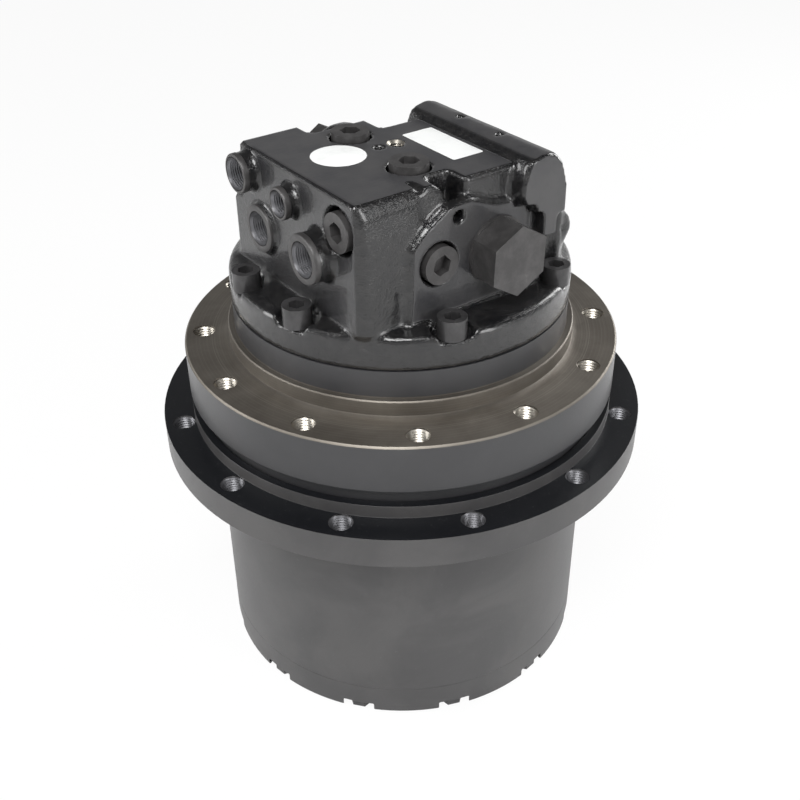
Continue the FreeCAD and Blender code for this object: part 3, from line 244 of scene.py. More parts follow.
class Paint:
    """A material under construction, with object coordinates and procedural textures."""

    def __init__(self, name):
        self.material = bpy.data.materials.new("look_" + name)
        self.material.use_nodes = True
        self.tree = self.material.node_tree
        self.tree.nodes.clear()
        place = self.tree.nodes.new("ShaderNodeTexCoord")
        self.position = place.outputs["Object"]
        self.x, self.y, self.z = self.split(self.position)
        self.nx, self.ny, self.nz = self.split(place.outputs["Normal"])
        self.radius = (self.x * self.x + self.y * self.y) ** 0.5

    def split(self, vector):
        """The three parts of a vector socket."""
        node = self.tree.nodes.new("ShaderNodeSeparateXYZ")
        self.tree.links.new(vector, node.inputs[0])
        return [Wire(self.tree, output) for output in node.outputs]

    def joined(self, x, y, z):
        """A vector socket made of three values."""
        node = self.tree.nodes.new("ShaderNodeCombineXYZ")
        for value, place in zip((x, y, z), node.inputs):
            put(self.tree, value, place)
        return node.outputs[0]

    def noise(self, scale, detail, roughness, vector=None, distortion=0.0):
        """Fractal noise, about 0.3 to 0.7, with scale cycles to a metre."""
        node = self.tree.nodes.new("ShaderNodeTexNoise")
        self.tree.links.new(vector or self.position, node.inputs["Vector"])
        node.inputs["Scale"].default_value = scale
        node.inputs["Detail"].default_value = detail
        node.inputs["Roughness"].default_value = roughness
        node.inputs["Distortion"].default_value = distortion
        return Wire(self.tree, node.outputs[0])

    def cells(self, scale):
        """Distance to the nearest cell centre of a Voronoi pattern."""
        node = self.tree.nodes.new("ShaderNodeTexVoronoi")
        self.tree.links.new(self.position, node.inputs["Vector"])
        node.inputs["Scale"].default_value = scale
        return Wire(self.tree, node.outputs["Distance"])

    def blend(self, factor, first, second):
        """A colour between two colours, each an RGB triple or a Wire."""
        node = self.tree.nodes.new("ShaderNodeMix")
        node.data_type = "RGBA"
        colours = [place for place in node.inputs if place.type == "RGBA"]
        put(self.tree, factor, node.inputs[0])
        for value, place in zip((first, second), colours):
            put(self.tree, value if isinstance(value, Wire) else (*value, 1.0), place)
        output = next(place for place in node.outputs if place.type == "RGBA")
        return Wire(self.tree, output)

    def bump(self, height, distance):
        """A normal raised by height, 0 to 1, times distance in metres."""
        node = self.tree.nodes.new("ShaderNodeBump")
        node.inputs["Distance"].default_value = distance
        node.inputs["Strength"].default_value = 1.0
        put(self.tree, height, node.inputs["Height"])
        return Wire(self.tree, node.outputs[0])

    def done(self, **inputs):
        """Connect the principled surface. Names are its inputs with _ for a space."""
        node = self.tree.nodes.new("ShaderNodeBsdfPrincipled")
        output = self.tree.nodes.new("ShaderNodeOutputMaterial")
        self.tree.links.new(node.outputs[0], output.inputs[0])
        for name, value in inputs.items():
            place = node.inputs[name.replace("_", " ")]
            if isinstance(value, tuple) and len(value) == 3 and place.type == "RGBA":
                value = (*value, 1.0)
            put(self.tree, value, place)
        return self.material


# ---------------------------------------------------------------------------------------------
# Materials
# ---------------------------------------------------------------------------------------------
def drum_paint():
    """Satin dark paint over a turned drum, with faint blotches, dust and turning lines, and painted shade
    that blackens the top of the sprocket flange.
    """
    p = Paint("drum_satin")
    blotch = p.noise(14.0, 5.0, 0.6, distortion=0.6)
    fine = p.noise(420.0, 3.0, 0.6)
    lines = p.noise(900.0, 2.0, 0.5, p.joined(p.radius * 0.6, 0.0, p.z))
    # Painted shade: the upward faces of the sprocket flange are blended to near black, standing in for the
    # dark they reflect.
    shaded_flange_top = p.nz.ramp(0.6, 0.9) * p.z.ramp(*SPROCKET_TOP_BAND)
    base = p.blend(blotch.ramp(0.3, 0.72), (0.040, 0.039, 0.040), (0.062, 0.060, 0.060))
    base = p.blend(shaded_flange_top, base, (0.006, 0.0065, 0.008))
    base = p.blend(fine.ramp(0.62, 0.8) * 0.25, base, (0.12, 0.12, 0.12))
    rough = (blotch * 0.16 + 0.30 + fine * 0.08) - shaded_flange_top * 0.06
    height = lines * 0.35 + fine * 0.65
    return p.done(Base_Color=base, Roughness=rough, Metallic=0.0, Coat_Weight=0.10 - shaded_flange_top * 0.09,
                  Coat_Roughness=0.25, Specular_IOR_Level=0.4, Normal=p.bump(height, 0.00006))


def frame_steel():
    """Spindle: bare turned steel on the bolted face and its step, dark paint on the rim and the hub, and
    painted shade on the wall of the step.
    """
    p = Paint("frame_flange_steel")
    rings = p.noise(1500.0, 2.0, 0.5, p.joined(p.radius, 0.0, p.z * 0.7))
    blotch = p.noise(22.0, 5.0, 0.62, distortion=0.4)
    fine = p.noise(650.0, 3.0, 0.6)
    bare = p.z.ramp(*BARE_STEEL_FOOT) * p.z.ramp(*BARE_STEEL_HEAD) * p.radius.ramp(*BARE_STEEL_INSIDE)
    step = p.z.ramp(*STEP_FOOT)
    steel = p.blend(blotch.ramp(0.32, 0.7), (0.155, 0.138, 0.118), (0.215, 0.196, 0.170))
    steel = p.blend(rings.ramp(0.45, 0.75) * 0.5, steel, (0.29, 0.27, 0.235))
    # Painted shade: the wall of the step is blended towards a darker brown than the bolted face of the same
    # steel.
    steel = p.blend(step * 0.35, steel, (0.10, 0.092, 0.082))
    paint = p.blend(blotch, (0.020, 0.020, 0.022), (0.040, 0.040, 0.042))
    base = p.blend(bare, paint, steel)
    rough = bare * (0.12 + blotch * 0.1) + 0.30 + fine * 0.08
    metal = bare * 0.85
    height = rings * bare * 0.8 + fine * 0.4
    return p.done(Base_Color=base, Roughness=rough, Metallic=metal, Specular_IOR_Level=0.5,
                  Normal=p.bump(height, 0.00007))


def casting_paint():
    """Gloss black paint: lumpy over the raw casting, thin and satin over the milled faces, with painted
    shade keeping the port face and the boss plate darker than the top.
    """
    p = Paint("casting_gloss_black")
    grain = p.noise(620.0, 3.0, 0.6)
    lumps = p.noise(210.0, 3.0, 0.6, distortion=0.3)
    blotch = p.noise(30.0, 4.0, 0.6)
    top = p.nz.ramp(0.9, 0.97) * p.z.near(BLOCK_TOP * MM, 0.0007, 0.0003)
    side = (p.nx * -1.0).ramp(0.9, 0.97) * p.x.near(PORT_FACE * MM, 0.0008, 0.0003)
    plate = (p.ny * -1.0).ramp(0.9, 0.97) * p.y.near(BOSS_PLATE * MM, 0.0008, 0.0003)
    end = (p.ny * -1.0).ramp(0.9, 0.97) * p.y.near(BAR_FRONT * MM, 0.0008, 0.0003)
    bar = p.nz.ramp(0.8, 0.95) * p.z.ramp(*BAR_ROUND_TOP)
    # Painted shade: the port face and the boss plate take only 0.45 and 0.7 of the milled weight, so they
    # stay darker than the milled top; their roughness, coat and bump follow the same weight.
    milled = (top + side * 0.45 + plate * 0.7 + end + bar).clipped()
    rim = p.radius.ramp(*BASE_RIM[0]) * p.z.ramp(*BASE_RIM[1])
    milled = (milled + rim * 0.12).clipped()
    marks = p.noise(700.0, 2.0, 0.5, p.joined(p.x * 0.15, p.y, p.z))
    rough_paint = p.blend(lumps.ramp(0.35, 0.7), (0.0055, 0.0055, 0.0062), (0.014, 0.0135, 0.0135))
    flat_paint = p.blend(blotch.ramp(0.3, 0.7), (0.036, 0.036, 0.039), (0.056, 0.055, 0.056))
    base = p.blend(milled, rough_paint, flat_paint)
    rough = milled * 0.22 + 0.13 + grain * 0.06
    height = (lumps * 0.5 + grain * 0.5) * (1.0 - milled * 0.93) + marks * milled * 0.04
    return p.done(Base_Color=base, Roughness=rough, Metallic=0.0, Coat_Weight=0.5 - milled * 0.4,
                  Coat_Roughness=0.07, Specular_IOR_Level=0.38, Normal=p.bump(height, 0.0010))


def satin_black(name, tone, roughness, worn):
    """Blacked steel with a fine grain, dulled and rubbed in places."""
    p = Paint(name)
    grain = p.noise(800.0, 3.0, 0.6)
    rub = p.noise(90.0, 4.0, 0.65)
    base = p.blend(rub.ramp(0.35, 0.75), tuple(v * 0.8 for v in tone), tuple(v * 1.35 for v in tone))
    base = p.blend(rub.ramp(0.66, 0.78) * worn, base, (0.20, 0.19, 0.18))
    rough = grain * 0.12 + roughness
    return p.done(Base_Color=base, Roughness=rough, Metallic=0.3, Specular_IOR_Level=0.5,
                  Normal=p.bump(grain, 0.00005))


def bright_steel(name, tone, roughness, grain_scale=600.0, metallic=1.0):
    """Machined steel with fine grain and a thin uneven film of oil."""
    p = Paint(name)
    grain = p.noise(grain_scale, 3.0, 0.6)
    film = p.noise(60.0, 4.0, 0.6)
    base = p.blend(film.ramp(0.3, 0.75), tuple(v * 0.78 for v in tone), tone)
    rough = grain * 0.14 + film * 0.1 + roughness
    return p.done(Base_Color=base, Roughness=rough, Metallic=metallic, Normal=p.bump(grain, 0.00004))


def rubber():
    """Dull black rubber."""
    p = Paint("seal_rubber")
    grain = p.noise(900.0, 3.0, 0.6)
    base = p.blend(grain, (0.012, 0.012, 0.012), (0.03, 0.03, 0.03))
    return p.done(Base_Color=base, Roughness=grain * 0.15 + 0.6, Normal=p.bump(grain, 0.00006))


def lining():
    """Brake lining: pressed fibre with darker specks."""
    p = Paint("friction_lining")
    speck = p.cells(900.0)
    wave = p.noise(200.0, 4.0, 0.6)
    base = p.blend(speck.ramp(0.1, 0.5), (0.05, 0.038, 0.03), (0.17, 0.12, 0.085))
    return p.done(Base_Color=base, Roughness=wave * 0.2 + 0.65, Normal=p.bump(speck, 0.0001))


def sticker_white():
    """Bare white vinyl with slight smudges."""
    p = Paint("sticker_white")
    smudge = p.noise(60.0, 4.0, 0.6)
    base = p.blend(smudge.ramp(0.45, 0.8) * 0.5, (0.84, 0.85, 0.84), (0.66, 0.67, 0.66))
    return p.done(Base_Color=base, Roughness=smudge * 0.1 + 0.42, Normal=p.bump(smudge, 0.00002))


# Which material each CAD node wears.
WEARS = {
    "drum_satin": ("drum_housing", "end_cover"),
    "frame_flange_steel": ("hub_spindle",),
    "casting_gloss_black": ("valve_block",),
    "plug_black": ("counterbalance_plug_front", "counterbalance_plug_rear", "top_gallery_plugs",
                   "port_face_plug", "front_gallery_plug", "two_speed_plug", "cover_plugs"),
    "bolt_black": ("valve_block_bolts", "cover_bolts"),
    "gear_steel": ("sun_gear_first", "sun_gear_second", "planet_first_a", "planet_first_b", "planet_first_c",
                   "planet_second_a", "planet_second_b", "planet_second_c", "swash_plate", "brake_plates",
                   "bearing_lock_nut", "cover_thrust_pad"),
    "ground_steel": ("motor_shaft", "cylinder_block", "planet_pins_first", "planet_pins_second",
                     "brake_piston", "counterbalance_spool", "two_speed_spool", "speed_control_piston"),
    "bearing_steel": ("bearing_inner_lower", "bearing_inner_upper", "bearing_outer_lower",
                      "bearing_outer_upper", "bearing_rollers_lower", "bearing_rollers_upper",
                      "shaft_bearing_front", "shaft_bearing_rear", "seal_ring_fixed", "seal_ring_turning",
                      "motor_pistons"),
    "bronze": ("swash_cradle", "slipper_retainer", "valve_plate"),
    "carrier_iron": ("planet_carrier",),
    "spring_steel": ("counterbalance_spring_front", "counterbalance_spring_rear", "two_speed_spring",
                     "brake_spring"),
    "seal_rubber": ("seal_rubber_fixed", "seal_rubber_turning", "shaft_seal"),
    "friction_lining": ("brake_discs",),
}


def make_materials():
    """Every material of the drive."""
    return [
        drum_paint(),
        frame_steel(),
        casting_paint(),
        satin_black("plug_black", (0.050, 0.048, 0.048), 0.36, 0.15),
        satin_black("bolt_black", (0.045, 0.044, 0.045), 0.25, 0.3),
        bright_steel("gear_steel", (0.42, 0.41, 0.40), 0.25),
        bright_steel("ground_steel", (0.55, 0.55, 0.55), 0.16),
        bright_steel("bearing_steel", (0.62, 0.62, 0.63), 0.10),
        bright_steel("thread_steel", (0.46, 0.43, 0.38), 0.26),
        bright_steel("thread_dark", (0.16, 0.16, 0.17), 0.30, 500.0, 0.8),
        bright_steel("bronze", (0.62, 0.42, 0.20), 0.24),
        bright_steel("carrier_iron", (0.20, 0.20, 0.20), 0.42, 300.0, 0.7),
        bright_steel("spring_steel", (0.24, 0.24, 0.26), 0.28),
        rubber(),
        lining(),
        sticker_white(),
    ]


def material(name):
    """One of the materials of this file, whose names don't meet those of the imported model."""
    return bpy.data.materials["look_" + name]


# ---------------------------------------------------------------------------------------------
# Mesh helpers
# ---------------------------------------------------------------------------------------------
def linked(name, mesh):
    """An object of the mesh, in the scene."""
    piece = bpy.data.objects.new(name, mesh)
    bpy.context.scene.collection.objects.link(piece)
    return piece


def surface(name, points, faces, smooth=True):
    """A mesh object from an array of points and an array of faces."""
    mesh = bpy.data.meshes.new(name)
    mesh.from_pydata(np.asarray(points, float).tolist(), [], np.asarray(faces, int).tolist())
    mesh.validate()
    if smooth:
        mesh.shade_smooth()
    return linked(name, mesh)


def merged_copy(node):
    """The node's mesh with its loose triangles joined."""
    mesh = frame["nodes"][node].data.copy()
    mesh.name = node + "_finished"
    work = bmesh.new()
    work.from_mesh(mesh)
    bmesh.ops.remove_doubles(work, verts=work.verts, dist=0.000004)
    work.to_mesh(mesh)
    work.free()
    mesh.materials.clear()
    return mesh


def applied(piece):
    """The piece with its modifiers applied."""
    depsgraph = bpy.context.evaluated_depsgraph_get()
    mesh = bpy.data.meshes.new_from_object(piece.evaluated_get(depsgraph))
    old = piece.data
    piece.modifiers.clear()
    piece.data = mesh
    bpy.data.meshes.remove(old)
    return piece


def bevelled(node, width, rims=None, rim_width=0.0, steps=2):
    """A copy of the node with every sharp edge broken; rims(middle) picks the edges broken wider."""
    mesh = merged_copy(node)
    work = bmesh.new()
    work.from_mesh(mesh)
    layer = work.edges.layers.float.new("bevel_weight_edge")
    largest = max(width, rim_width)
    for edge in work.edges:
        if len(edge.link_faces) == 2 and edge.calc_face_angle(0.0) > math.radians(28.0):
            middle = (edge.verts[0].co + edge.verts[1].co) / 2
            wide = rims is not None and rims(middle)
            edge[layer] = (rim_width if wide else width) / largest
    work.to_mesh(mesh)
    work.free()
    mesh.shade_smooth()
    piece = linked(node + "_finished", mesh)
    bevel = piece.modifiers.new("edges", "BEVEL")
    bevel.limit_method = "WEIGHT"
    bevel.width = largest * MM
    bevel.segments = steps
    bevel.use_clamp_overlap = True
    bevel.miter_outer = "MITER_ARC"
    weighted = piece.modifiers.new("normals", "WEIGHTED_NORMAL")
    weighted.keep_sharp = True
    weighted.weight = 100
    return applied(piece)


def finish_piece(piece, node, name):
    """Give a replacing piece its material and its body, and hide the node it stands for."""
    piece.data.materials.clear()
    piece.data.materials.append(material(name))
    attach(piece, frame["nodes"][node]["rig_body"])
    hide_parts(node)
    return piece


# ---------------------------------------------------------------------------------------------
# Shapes worked out in arrays
# ---------------------------------------------------------------------------------------------
def lathe(name, profile, segments):
    """A surface of revolution about Z.

    Point (i, j) is (r_i cos t_j, r_i sin t_j, z_i), where t_j = 2 pi j / segments and the profile
    lists each r_i and z_i. Face (i, j) joins columns j and j + 1 of rows i and i + 1.
    """
    turn = np.linspace(0.0, 2.0 * np.pi, segments, endpoint=False)
    radius = np.array([point[0] for point in profile])[:, None]
    height = np.array([point[1] for point in profile])[:, None]
    points = np.stack(
        [radius * np.cos(turn), radius * np.sin(turn), height * np.ones_like(turn)], axis=-1
    ).reshape(-1, 3)
    row = np.arange(len(profile) - 1)[:, None] * segments
    column = np.arange(segments)[None, :]
    after = (column + 1) % segments
    faces = np.stack([row + column, row + after, row + segments + after, row + segments + column], axis=-1)
    piece = surface(name, points, faces.reshape(-1, 4))
    piece.data.set_sharp_from_angle(angle=math.radians(40.0))
    return piece


def thread_profile(bore, core, mouth, chamfer, depth, pitch):
    """Section of a tapped hole: a chamfer from mouth, then V ridges of the pitch between bore and core."""
    profile = [(mouth, 0.0), (bore, -chamfer)]
    height = -chamfer
    while height > -depth:
        profile.append((core, height - pitch * 0.5))
        profile.append((bore, height - pitch))
        height -= pitch
    return profile


def joined_at(name, mesh, places):
    """One object made of the mesh repeated at each placement matrix."""
    work = bmesh.new()
    for place in places:
        start = len(work.verts)
        work.from_mesh(mesh)
        work.verts.ensure_lookup_table()
        bmesh.ops.transform(work, matrix=place, verts=work.verts[start:])
    result = bpy.data.meshes.new(name)
    work.to_mesh(result)
    work.free()
    return linked(name, result)


def tapped_holes(name, places, bore, core, mouth, depth, wears, body, pitch, chamfer=1.1):
    """Thread linings for holes: each placement has its mouth at its origin and +Z pointing out."""
    profile = [(radius * MM, height * MM) for radius, height in
               thread_profile(bore, core, mouth, chamfer, depth, pitch)]
    one = lathe(name + "_one", profile, 40)
    piece = joined_at(name, one.data, places)
    bpy.data.objects.remove(one)
    piece.data.shade_smooth()
    piece.data.set_sharp_from_angle(angle=math.radians(40.0))
    piece.data.materials.append(material(wears))
    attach(piece, body)
    return piece


def circle_places(radius, count, clocking, height):
    """Placements on a bolt circle, with +Z up."""
    for number in range(count):
        angle = math.radians(clocking + 360.0 * number / count)
        spot = Vector((radius * math.cos(angle), radius * math.sin(angle), height)) * MM
        yield Matrix.Translation(spot)


def facing(spot, out):
    """A placement at spot, in millimetres, whose +Z points along out."""
    turn = Vector((0, 0, 1)).rotation_difference(Vector(out)).to_matrix().to_4x4()
    return Matrix.Translation(Vector(spot) * MM) @ turn


def wave_field(points, seed, length, count=14):
    """A smooth field of about -1 to 1: count sines, sin(k . p + phase), added and divided by sqrt(count).

    The directions and phases are random, and the wavelengths lie near length.
    """
    source = np.random.default_rng(seed)
    total = np.zeros(len(points))
    for _ in range(count):
        direction = source.normal(size=3)
        direction /= np.linalg.norm(direction)
        wavelength = length * source.uniform(0.7, 1.5)
        phase = source.uniform(0.0, 2.0 * np.pi)
        total += np.sin(points @ direction * (2.0 * np.pi / wavelength) + phase)
    return total / math.sqrt(count)


def add_boxes(mesh, boxes):
    """Join closed boxes to a mesh; the voxel skin then takes them as one solid with it."""
    work = bmesh.new()
    work.from_mesh(mesh)
    for low, high in boxes:
        size = Vector(high) - Vector(low)
        middle = (Vector(high) + Vector(low)) / 2
        place = Matrix.Translation(middle * MM) @ Matrix.Diagonal((*(size * MM), 1.0))
        bmesh.ops.create_cube(work, size=1.0, matrix=place)
    work.to_mesh(mesh)
    work.free()


def neighbours_mean(points, edges):
    """Mean of each point's neighbours: sum of neighbours / count."""
    total = np.zeros_like(points)
    count = np.zeros(len(points))
    np.add.at(total, edges[:, 0], points[edges[:, 1]])
    np.add.at(total, edges[:, 1], points[edges[:, 0]])
    np.add.at(count, edges[:, 0], 1.0)
    np.add.at(count, edges[:, 1], 1.0)
    return total / np.maximum(count, 1.0)[:, None]


def read(mesh, collection, field, width, kind=np.float32):
    """A mesh attribute as an array."""
    items = getattr(mesh, collection)
    values = np.zeros(len(items) * width, kind)
    items.foreach_get(field, values)
    return values.reshape(-1, width)


def cast_skin(node, voxel, passes, wave, seed):
    """The node's solid as a casting, from a voxel skin.

    Each pass moves every point 0.55 of the way to its neighbours' mean, and puts the points of the
    milled planes back on them. The raw walls then move along their normals by wave times a smooth field.
    """
    piece = linked(node + "_casting", merged_copy(node))
    add_boxes(piece.data, FILLED)
    remesh = piece.modifiers.new("skin", "REMESH")
    remesh.mode = "VOXEL"
    remesh.voxel_size = voxel
    remesh.adaptivity = 0.0
    applied(piece)
    mesh = piece.data
    points = read(mesh, "vertices", "co", 3).astype(float)
    normals = read(mesh, "vertices", "normal", 3).astype(float)
    edges = read(mesh, "edges", "vertices", 2, np.int32)
    held = np.zeros(len(points))
    planes = []
    for axis, sign, place in MILLED:
        flat = (np.abs(points[:, axis] - place * MM) < 0.9 * MM) & (normals[:, axis] * sign > 0.86)
        planes.append((axis, place, flat))
        held[flat] = 1.0
    for _ in range(passes):
        points += (neighbours_mean(points, edges) - points) * 0.55
        for axis, place, flat in planes:
            points[flat, axis] = place * MM
    free = 1.0 - held
    for _ in range(2):
        free = neighbours_mean(free[:, None], edges)[:, 0] * (1.0 - held)
    free[points[:, 2] < (BLOCK_BASE + 0.3) * MM] = 0.0
    ripple = wave_field(points, seed, 0.021) * 0.6 + wave_field(points, seed + 1, 0.009) * 0.4
    points += normals * (ripple * free * wave)[:, None]
    mesh.vertices.foreach_set("co", points.astype(np.float32).ravel())
    mesh.update()
    mesh.shade_smooth()
    return piece


def near_hole(circle, radius, heights):
    """A test that is true for points on the rim of a hole of a bolt circle at one of the heights."""
    spots = [place.to_translation() / MM for place in circle_places(*circle, 0.0)]

    def test(point):
        flat = point / MM
        if min(abs(flat.z - height) for height in heights) > 0.4:
            return False
        return min(math.hypot(flat.x - s.x, flat.y - s.y) for s in spots) < radius + 0.4

    return test


# ---------------------------------------------------------------------------------------------
# Pieces
# ---------------------------------------------------------------------------------------------
def build_materials(settings):
    """Give every CAD piece its material."""
    make_materials()
    for name, nodes in WEARS.items():
        for node in nodes:
            mesh = frame["nodes"][node].data
            mesh.materials.clear()
            mesh.materials.append(material(name))


def build_drum(settings):
    """Drum, cover and their bolts and plugs, with broken edges and tapped sprocket holes."""
    rims = near_hole(SPROCKET_CIRCLE, FLANGE_HOLE, (SPROCKET_TOP, SPROCKET_BOTTOM))
    drum = bevelled("drum_housing", settings.edge_break / MM, rims, settings.hole_chamfer / MM * 0.6)
    finish_piece(drum, "drum_housing", "drum_satin")
    finish_piece(bevelled("end_cover", settings.edge_break / MM * 1.6), "end_cover", "drum_satin")
    finish_piece(bevelled("cover_bolts", 0.5), "cover_bolts", "bolt_black")
    finish_piece(bevelled("cover_plugs", 0.4), "cover_plugs", "plug_black")
    places = list(circle_places(*SPROCKET_CIRCLE, SPROCKET_TOP))
    tapped_holes("sprocket_threads", places, 7.95, 7.1, 8.3, 21.5, "thread_dark", "drum",
                 settings.thread_pitch / MM, 1.0)


def build_spindle(settings):
    """Spindle with its bolted face, step and tapped holes."""
    rims = near_hole(FRAME_CIRCLE, FLANGE_HOLE, (FRAME_TOP,))
    spindle = bevelled("hub_spindle", settings.edge_break / MM, rims, settings.hole_chamfer / MM)
    finish_piece(spindle, "hub_spindle", "frame_flange_steel")
    places = list(circle_places(*FRAME_CIRCLE, FRAME_TOP - 0.1))
    tapped_holes("frame_threads", places, 7.95, 7.0, 9.3, 26.0, "thread_steel", "frame_side",
                 settings.thread_pitch / MM, 1.4)


def build_casting(settings):
    """Valve block casting, with the turned lips of its ports."""
    block = cast_skin("valve_block", settings.casting_voxel, settings.casting_smooth,
                      settings.casting_wave, settings.seed)
    finish_piece(block, "valve_block", "casting_gloss_black")
    for name, face, across, height, bore, boss in PORTS:
        lip = [
            (bore - 0.1, -25.0), (bore - 0.1, -2.0), (bore + 0.9, -0.2), (bore + 1.1, 0.15),
            (boss - 1.0, 0.15), (boss - 0.2, -0.2), (boss + 0.15, -0.8), (boss + 0.2, -3.6),
            (boss - 0.6, -4.4),
        ]
        ring = lathe(name + "_one", [(radius * MM, place * MM) for radius, place in lip], 72)
        mouth = facing((face, across, height), (-1, 0, 0))
        piece = joined_at(name, ring.data, [mouth])
        bpy.data.objects.remove(ring)
        piece.data.shade_smooth()
        piece.data.set_sharp_from_angle(angle=math.radians(30.0))
        piece.data.materials.append(material("plug_black"))
        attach(piece, "frame_side")
        tapped_holes(name + "_thread", [mouth], bore - 0.15, bore - 1.0, bore + 0.5, 20.0, "thread_dark",
                     "frame_side", 1.6, 1.0)
    tapped_holes("lifting_thread", [facing(LIFTING_HOLE, (0, 0, 1))], 5.0, 4.3, 6.2, 18.0,
                 "thread_steel", "frame_side", 1.5, 1.1)


def build_fittings(settings):
    """Plugs and socket screws with broken edges, and the brake spring, which gets a mesh of its own."""
    for node in ("counterbalance_plug_front", "counterbalance_plug_rear", "top_gallery_plugs",
                 "port_face_plug", "front_gallery_plug", "two_speed_plug"):
        finish_piece(bevelled(node, 0.7, steps=3), node, "plug_black")
    finish_piece(bevelled("valve_block_bolts", 0.6, steps=3), "valve_block_bolts", "bolt_black")
    spring = finish_piece(bevelled("brake_spring", 0.3), "brake_spring", "spring_steel")
    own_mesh(spring)


def build_stickers(settings):
    """A bare round sticker and a bare rectangular one on the top face."""
    x, y, radius = ROUND_STICKER
    disc = lathe("round_sticker", [(0.0, 0.12 * MM), ((radius - 0.5) * MM, 0.12 * MM),
                                   (radius * MM, 0.03 * MM)], 96)
    disc.data.transform(Matrix.Translation(Vector((x, y, BLOCK_TOP + 0.05)) * MM))
    left, front, wide, deep, corner = LABEL_STICKER
    outline = []
    for middle_x, middle_y, start in ((1, 1, 0), (-1, 1, 90), (-1, -1, 180), (1, -1, 270)):
        for step in range(5):
            angle = math.radians(start + 22.5 * step)
            outline.append((middle_x * (wide / 2 - corner) + corner * math.cos(angle),
                            middle_y * (deep / 2 - corner) + corner * math.sin(angle)))
    points = [((x + left) * MM, (y + front) * MM, (BLOCK_TOP + 0.15) * MM) for x, y in outline]
    label = surface("rectangular_sticker", points, [list(range(len(points)))], smooth=False)
    for piece in (disc, label):
        piece.data.materials.append(material("sticker_white"))
        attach(piece, "frame_side")


def build_studio(settings):
    """Pale floor, soft lights and the camera."""
    signs = ((-1, -1), (1, -1), (1, 1), (-1, 1))
    corners = [(x * FLOOR_HALF, y * FLOOR_HALF, FLOOR_HEIGHT) for x, y in signs]
    floor = surface("studio_floor", corners, [(0, 1, 2, 3)], smooth=False)
    pale = bpy.data.materials.new("studio_floor")
    pale.use_nodes = True
    tree = pale.node_tree
    tree.nodes.clear()
    ray = tree.nodes.new("ShaderNodeLightPath")
    diffuse = tree.nodes.new("ShaderNodeBsdfDiffuse")
    diffuse.inputs["Color"].default_value = (0.9, 0.9, 0.9, 1.0)
    glow = tree.nodes.new("ShaderNodeEmission")
    glow.inputs["Color"].default_value = (1.0, 1.0, 1.0, 1.0)
    glow.inputs["Strength"].default_value = 1.0
    mix = tree.nodes.new("ShaderNodeMixShader")
    output = tree.nodes.new("ShaderNodeOutputMaterial")
    put(tree, Wire(tree, ray.outputs["Is Camera Ray"]) * 0.93, mix.inputs[0])
    tree.links.new(diffuse.outputs[0], mix.inputs[1])
    tree.links.new(glow.outputs[0], mix.inputs[2])
    tree.links.new(mix.outputs[0], output.inputs[0])
    floor.data.materials.append(pale)
    light_world()
    for name, spot, target, width, height, power in LIGHTS:
        data = bpy.data.lights.new(name, "AREA")
        data.shape = "RECTANGLE"
        data.size = width
        data.size_y = height
        data.energy = power
        lamp = bpy.data.objects.new(name, data)
        bpy.context.scene.collection.objects.link(lamp)
        lamp.location = spot
        lamp.rotation_euler = (Vector(target) - Vector(spot)).to_track_quat("-Z", "Y").to_euler()
    place_camera()


def light_world():
    """World light: white for the camera; for the surfaces, bright round the horizon and dim overhead."""
    world = bpy.data.worlds.new("studio")
    bpy.context.scene.world = world
    world.use_nodes = True
    tree = world.node_tree
    tree.nodes.clear()
    place = tree.nodes.new("ShaderNodeTexCoord")
    split = tree.nodes.new("ShaderNodeSeparateXYZ")
    tree.links.new(place.outputs["Generated"], split.inputs[0])
    up = Wire(tree, split.outputs[2])
    ray = Wire(tree, tree.nodes.new("ShaderNodeLightPath").outputs["Is Camera Ray"])
    level = up.ramp(0.02, 0.42, 0.85, 0.10)
    level = level * (ray * -1.0 + 1.0) + ray
    background = tree.nodes.new("ShaderNodeBackground")
    put(tree, level, background.inputs["Strength"])
    background.inputs["Color"].default_value = (1.0, 1.0, 1.0, 1.0)
    output = tree.nodes.new("ShaderNodeOutputWorld")
    tree.links.new(background.outputs[0], output.inputs[0])


def place_camera():
    """Camera above and to the front left, 34 degrees down."""
    forward = Vector(CAMERA_FORWARD).normalized()
    side = forward.cross(Vector((0.0, 0.0, 1.0))).normalized()
    above = side.cross(forward)
    roll = math.radians(CAMERA_ROLL)
    right = side * math.cos(roll) - above * math.sin(roll)
    above = above * math.cos(roll) + side * math.sin(roll)
    data = bpy.data.cameras.new("camera")
    data.lens = CAMERA_LENS
    data.sensor_width = CAMERA_SENSOR
    camera = bpy.data.objects.new("camera", data)
    bpy.context.scene.collection.objects.link(camera)
    turn = Matrix((right, above, -forward)).transposed().to_4x4()
    camera.matrix_world = Matrix.Translation(Vector(CAMERA_PLACE)) @ turn
    bpy.context.scene.camera = camera


# ---------------------------------------------------------------------------------------------
# Operators and panel
# ---------------------------------------------------------------------------------------------
class FINALDRIVE_OT_materials(bpy.types.Operator):
    """Make the materials and give them to the CAD pieces"""

    bl_idname = "final_drive.materials"
    bl_label = "Materials"

    def execute(self, context):
        build_materials(context.scene.final_drive)
        return {"FINISHED"}


class FINALDRIVE_OT_drum(bpy.types.Operator):
    """Finish the drum, the end cover and the sprocket holes"""

    bl_idname = "final_drive.drum"
    bl_label = "Drum"

    def execute(self, context):
        build_drum(context.scene.final_drive)
        return {"FINISHED"}


class FINALDRIVE_OT_spindle(bpy.types.Operator):
    """Finish the spindle and its tapped holes"""

    bl_idname = "final_drive.spindle"
    bl_label = "Spindle"

    def execute(self, context):
        build_spindle(context.scene.final_drive)
        return {"FINISHED"}


class FINALDRIVE_OT_casting(bpy.types.Operator):
    """Make the valve block's cast skin and its ports"""

    bl_idname = "final_drive.casting"
    bl_label = "Valve block"

    def execute(self, context):
        build_casting(context.scene.final_drive)
        return {"FINISHED"}


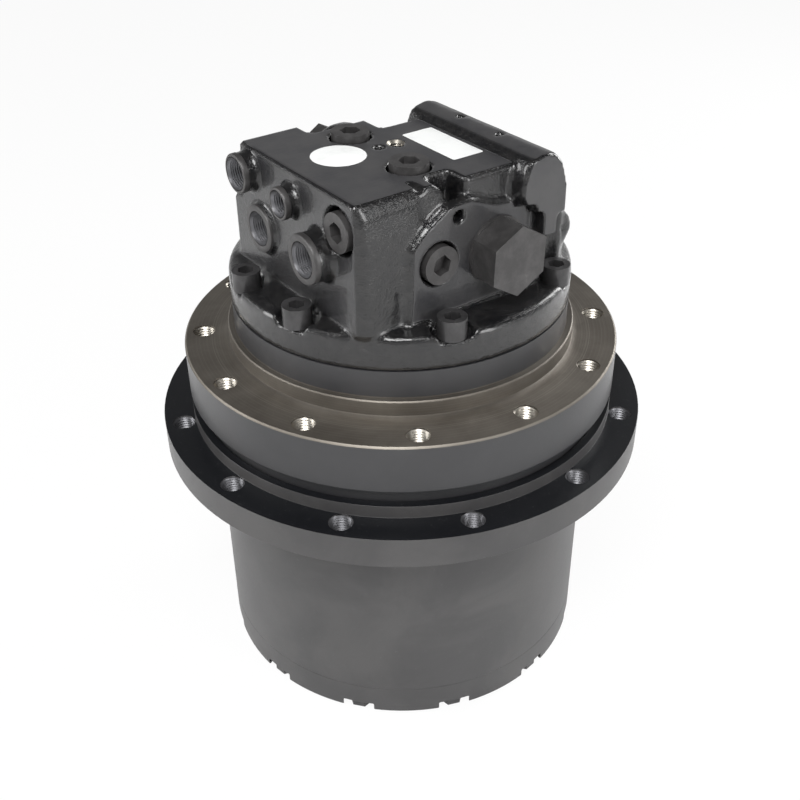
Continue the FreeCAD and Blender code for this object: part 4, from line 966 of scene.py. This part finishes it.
class FINALDRIVE_OT_fittings(bpy.types.Operator):
    """Finish the plugs, the screws and the brake spring"""

    bl_idname = "final_drive.fittings"
    bl_label = "Plugs and screws"

    def execute(self, context):
        build_fittings(context.scene.final_drive)
        return {"FINISHED"}


class FINALDRIVE_OT_stickers(bpy.types.Operator):
    """Add the two bare stickers"""

    bl_idname = "final_drive.stickers"
    bl_label = "Stickers"

    def execute(self, context):
        build_stickers(context.scene.final_drive)
        return {"FINISHED"}


class FINALDRIVE_OT_studio(bpy.types.Operator):
    """Add the floor, the lights and the camera"""

    bl_idname = "final_drive.studio"
    bl_label = "Studio"

    def execute(self, context):
        build_studio(context.scene.final_drive)
        return {"FINISHED"}


OPERATORS = (
    FINALDRIVE_OT_materials,
    FINALDRIVE_OT_drum,
    FINALDRIVE_OT_spindle,
    FINALDRIVE_OT_casting,
    FINALDRIVE_OT_fittings,
    FINALDRIVE_OT_stickers,
    FINALDRIVE_OT_studio,
)


class FINALDRIVE_PT_panel(bpy.types.Panel):
    """Settings and build steps of the final drive."""

    bl_label = "Final drive"
    bl_idname = "FINALDRIVE_PT_panel"
    bl_space_type = "VIEW_3D"
    bl_region_type = "UI"
    bl_category = "Final drive"

    def draw(self, context):
        for name in FinalDriveSettings.__annotations__:
            self.layout.prop(context.scene.final_drive, name)
        for operator in OPERATORS:
            self.layout.operator(operator.bl_idname)


CLASSES = [FinalDriveSettings, *OPERATORS, FINALDRIVE_PT_panel]


def register():
    """Register the classes and put the settings on the scene."""
    for item in CLASSES:
        bpy.utils.register_class(item)
    bpy.types.Scene.final_drive = bpy.props.PointerProperty(type=FinalDriveSettings)


def unregister():
    """Take the settings and the classes away again."""
    del bpy.types.Scene.final_drive
    for item in reversed(CLASSES):
        bpy.utils.unregister_class(item)


def main():
    """Build everything in order."""
    register()
    bpy.context.scene.view_settings.view_transform = "Standard"
    for operator in OPERATORS:
        name = operator.bl_idname.split(".")[1]
        if getattr(bpy.ops.final_drive, name)() != {"FINISHED"}:
            raise RuntimeError(f"{operator.bl_label} did not finish")


if __name__ == "__main__":
    main()
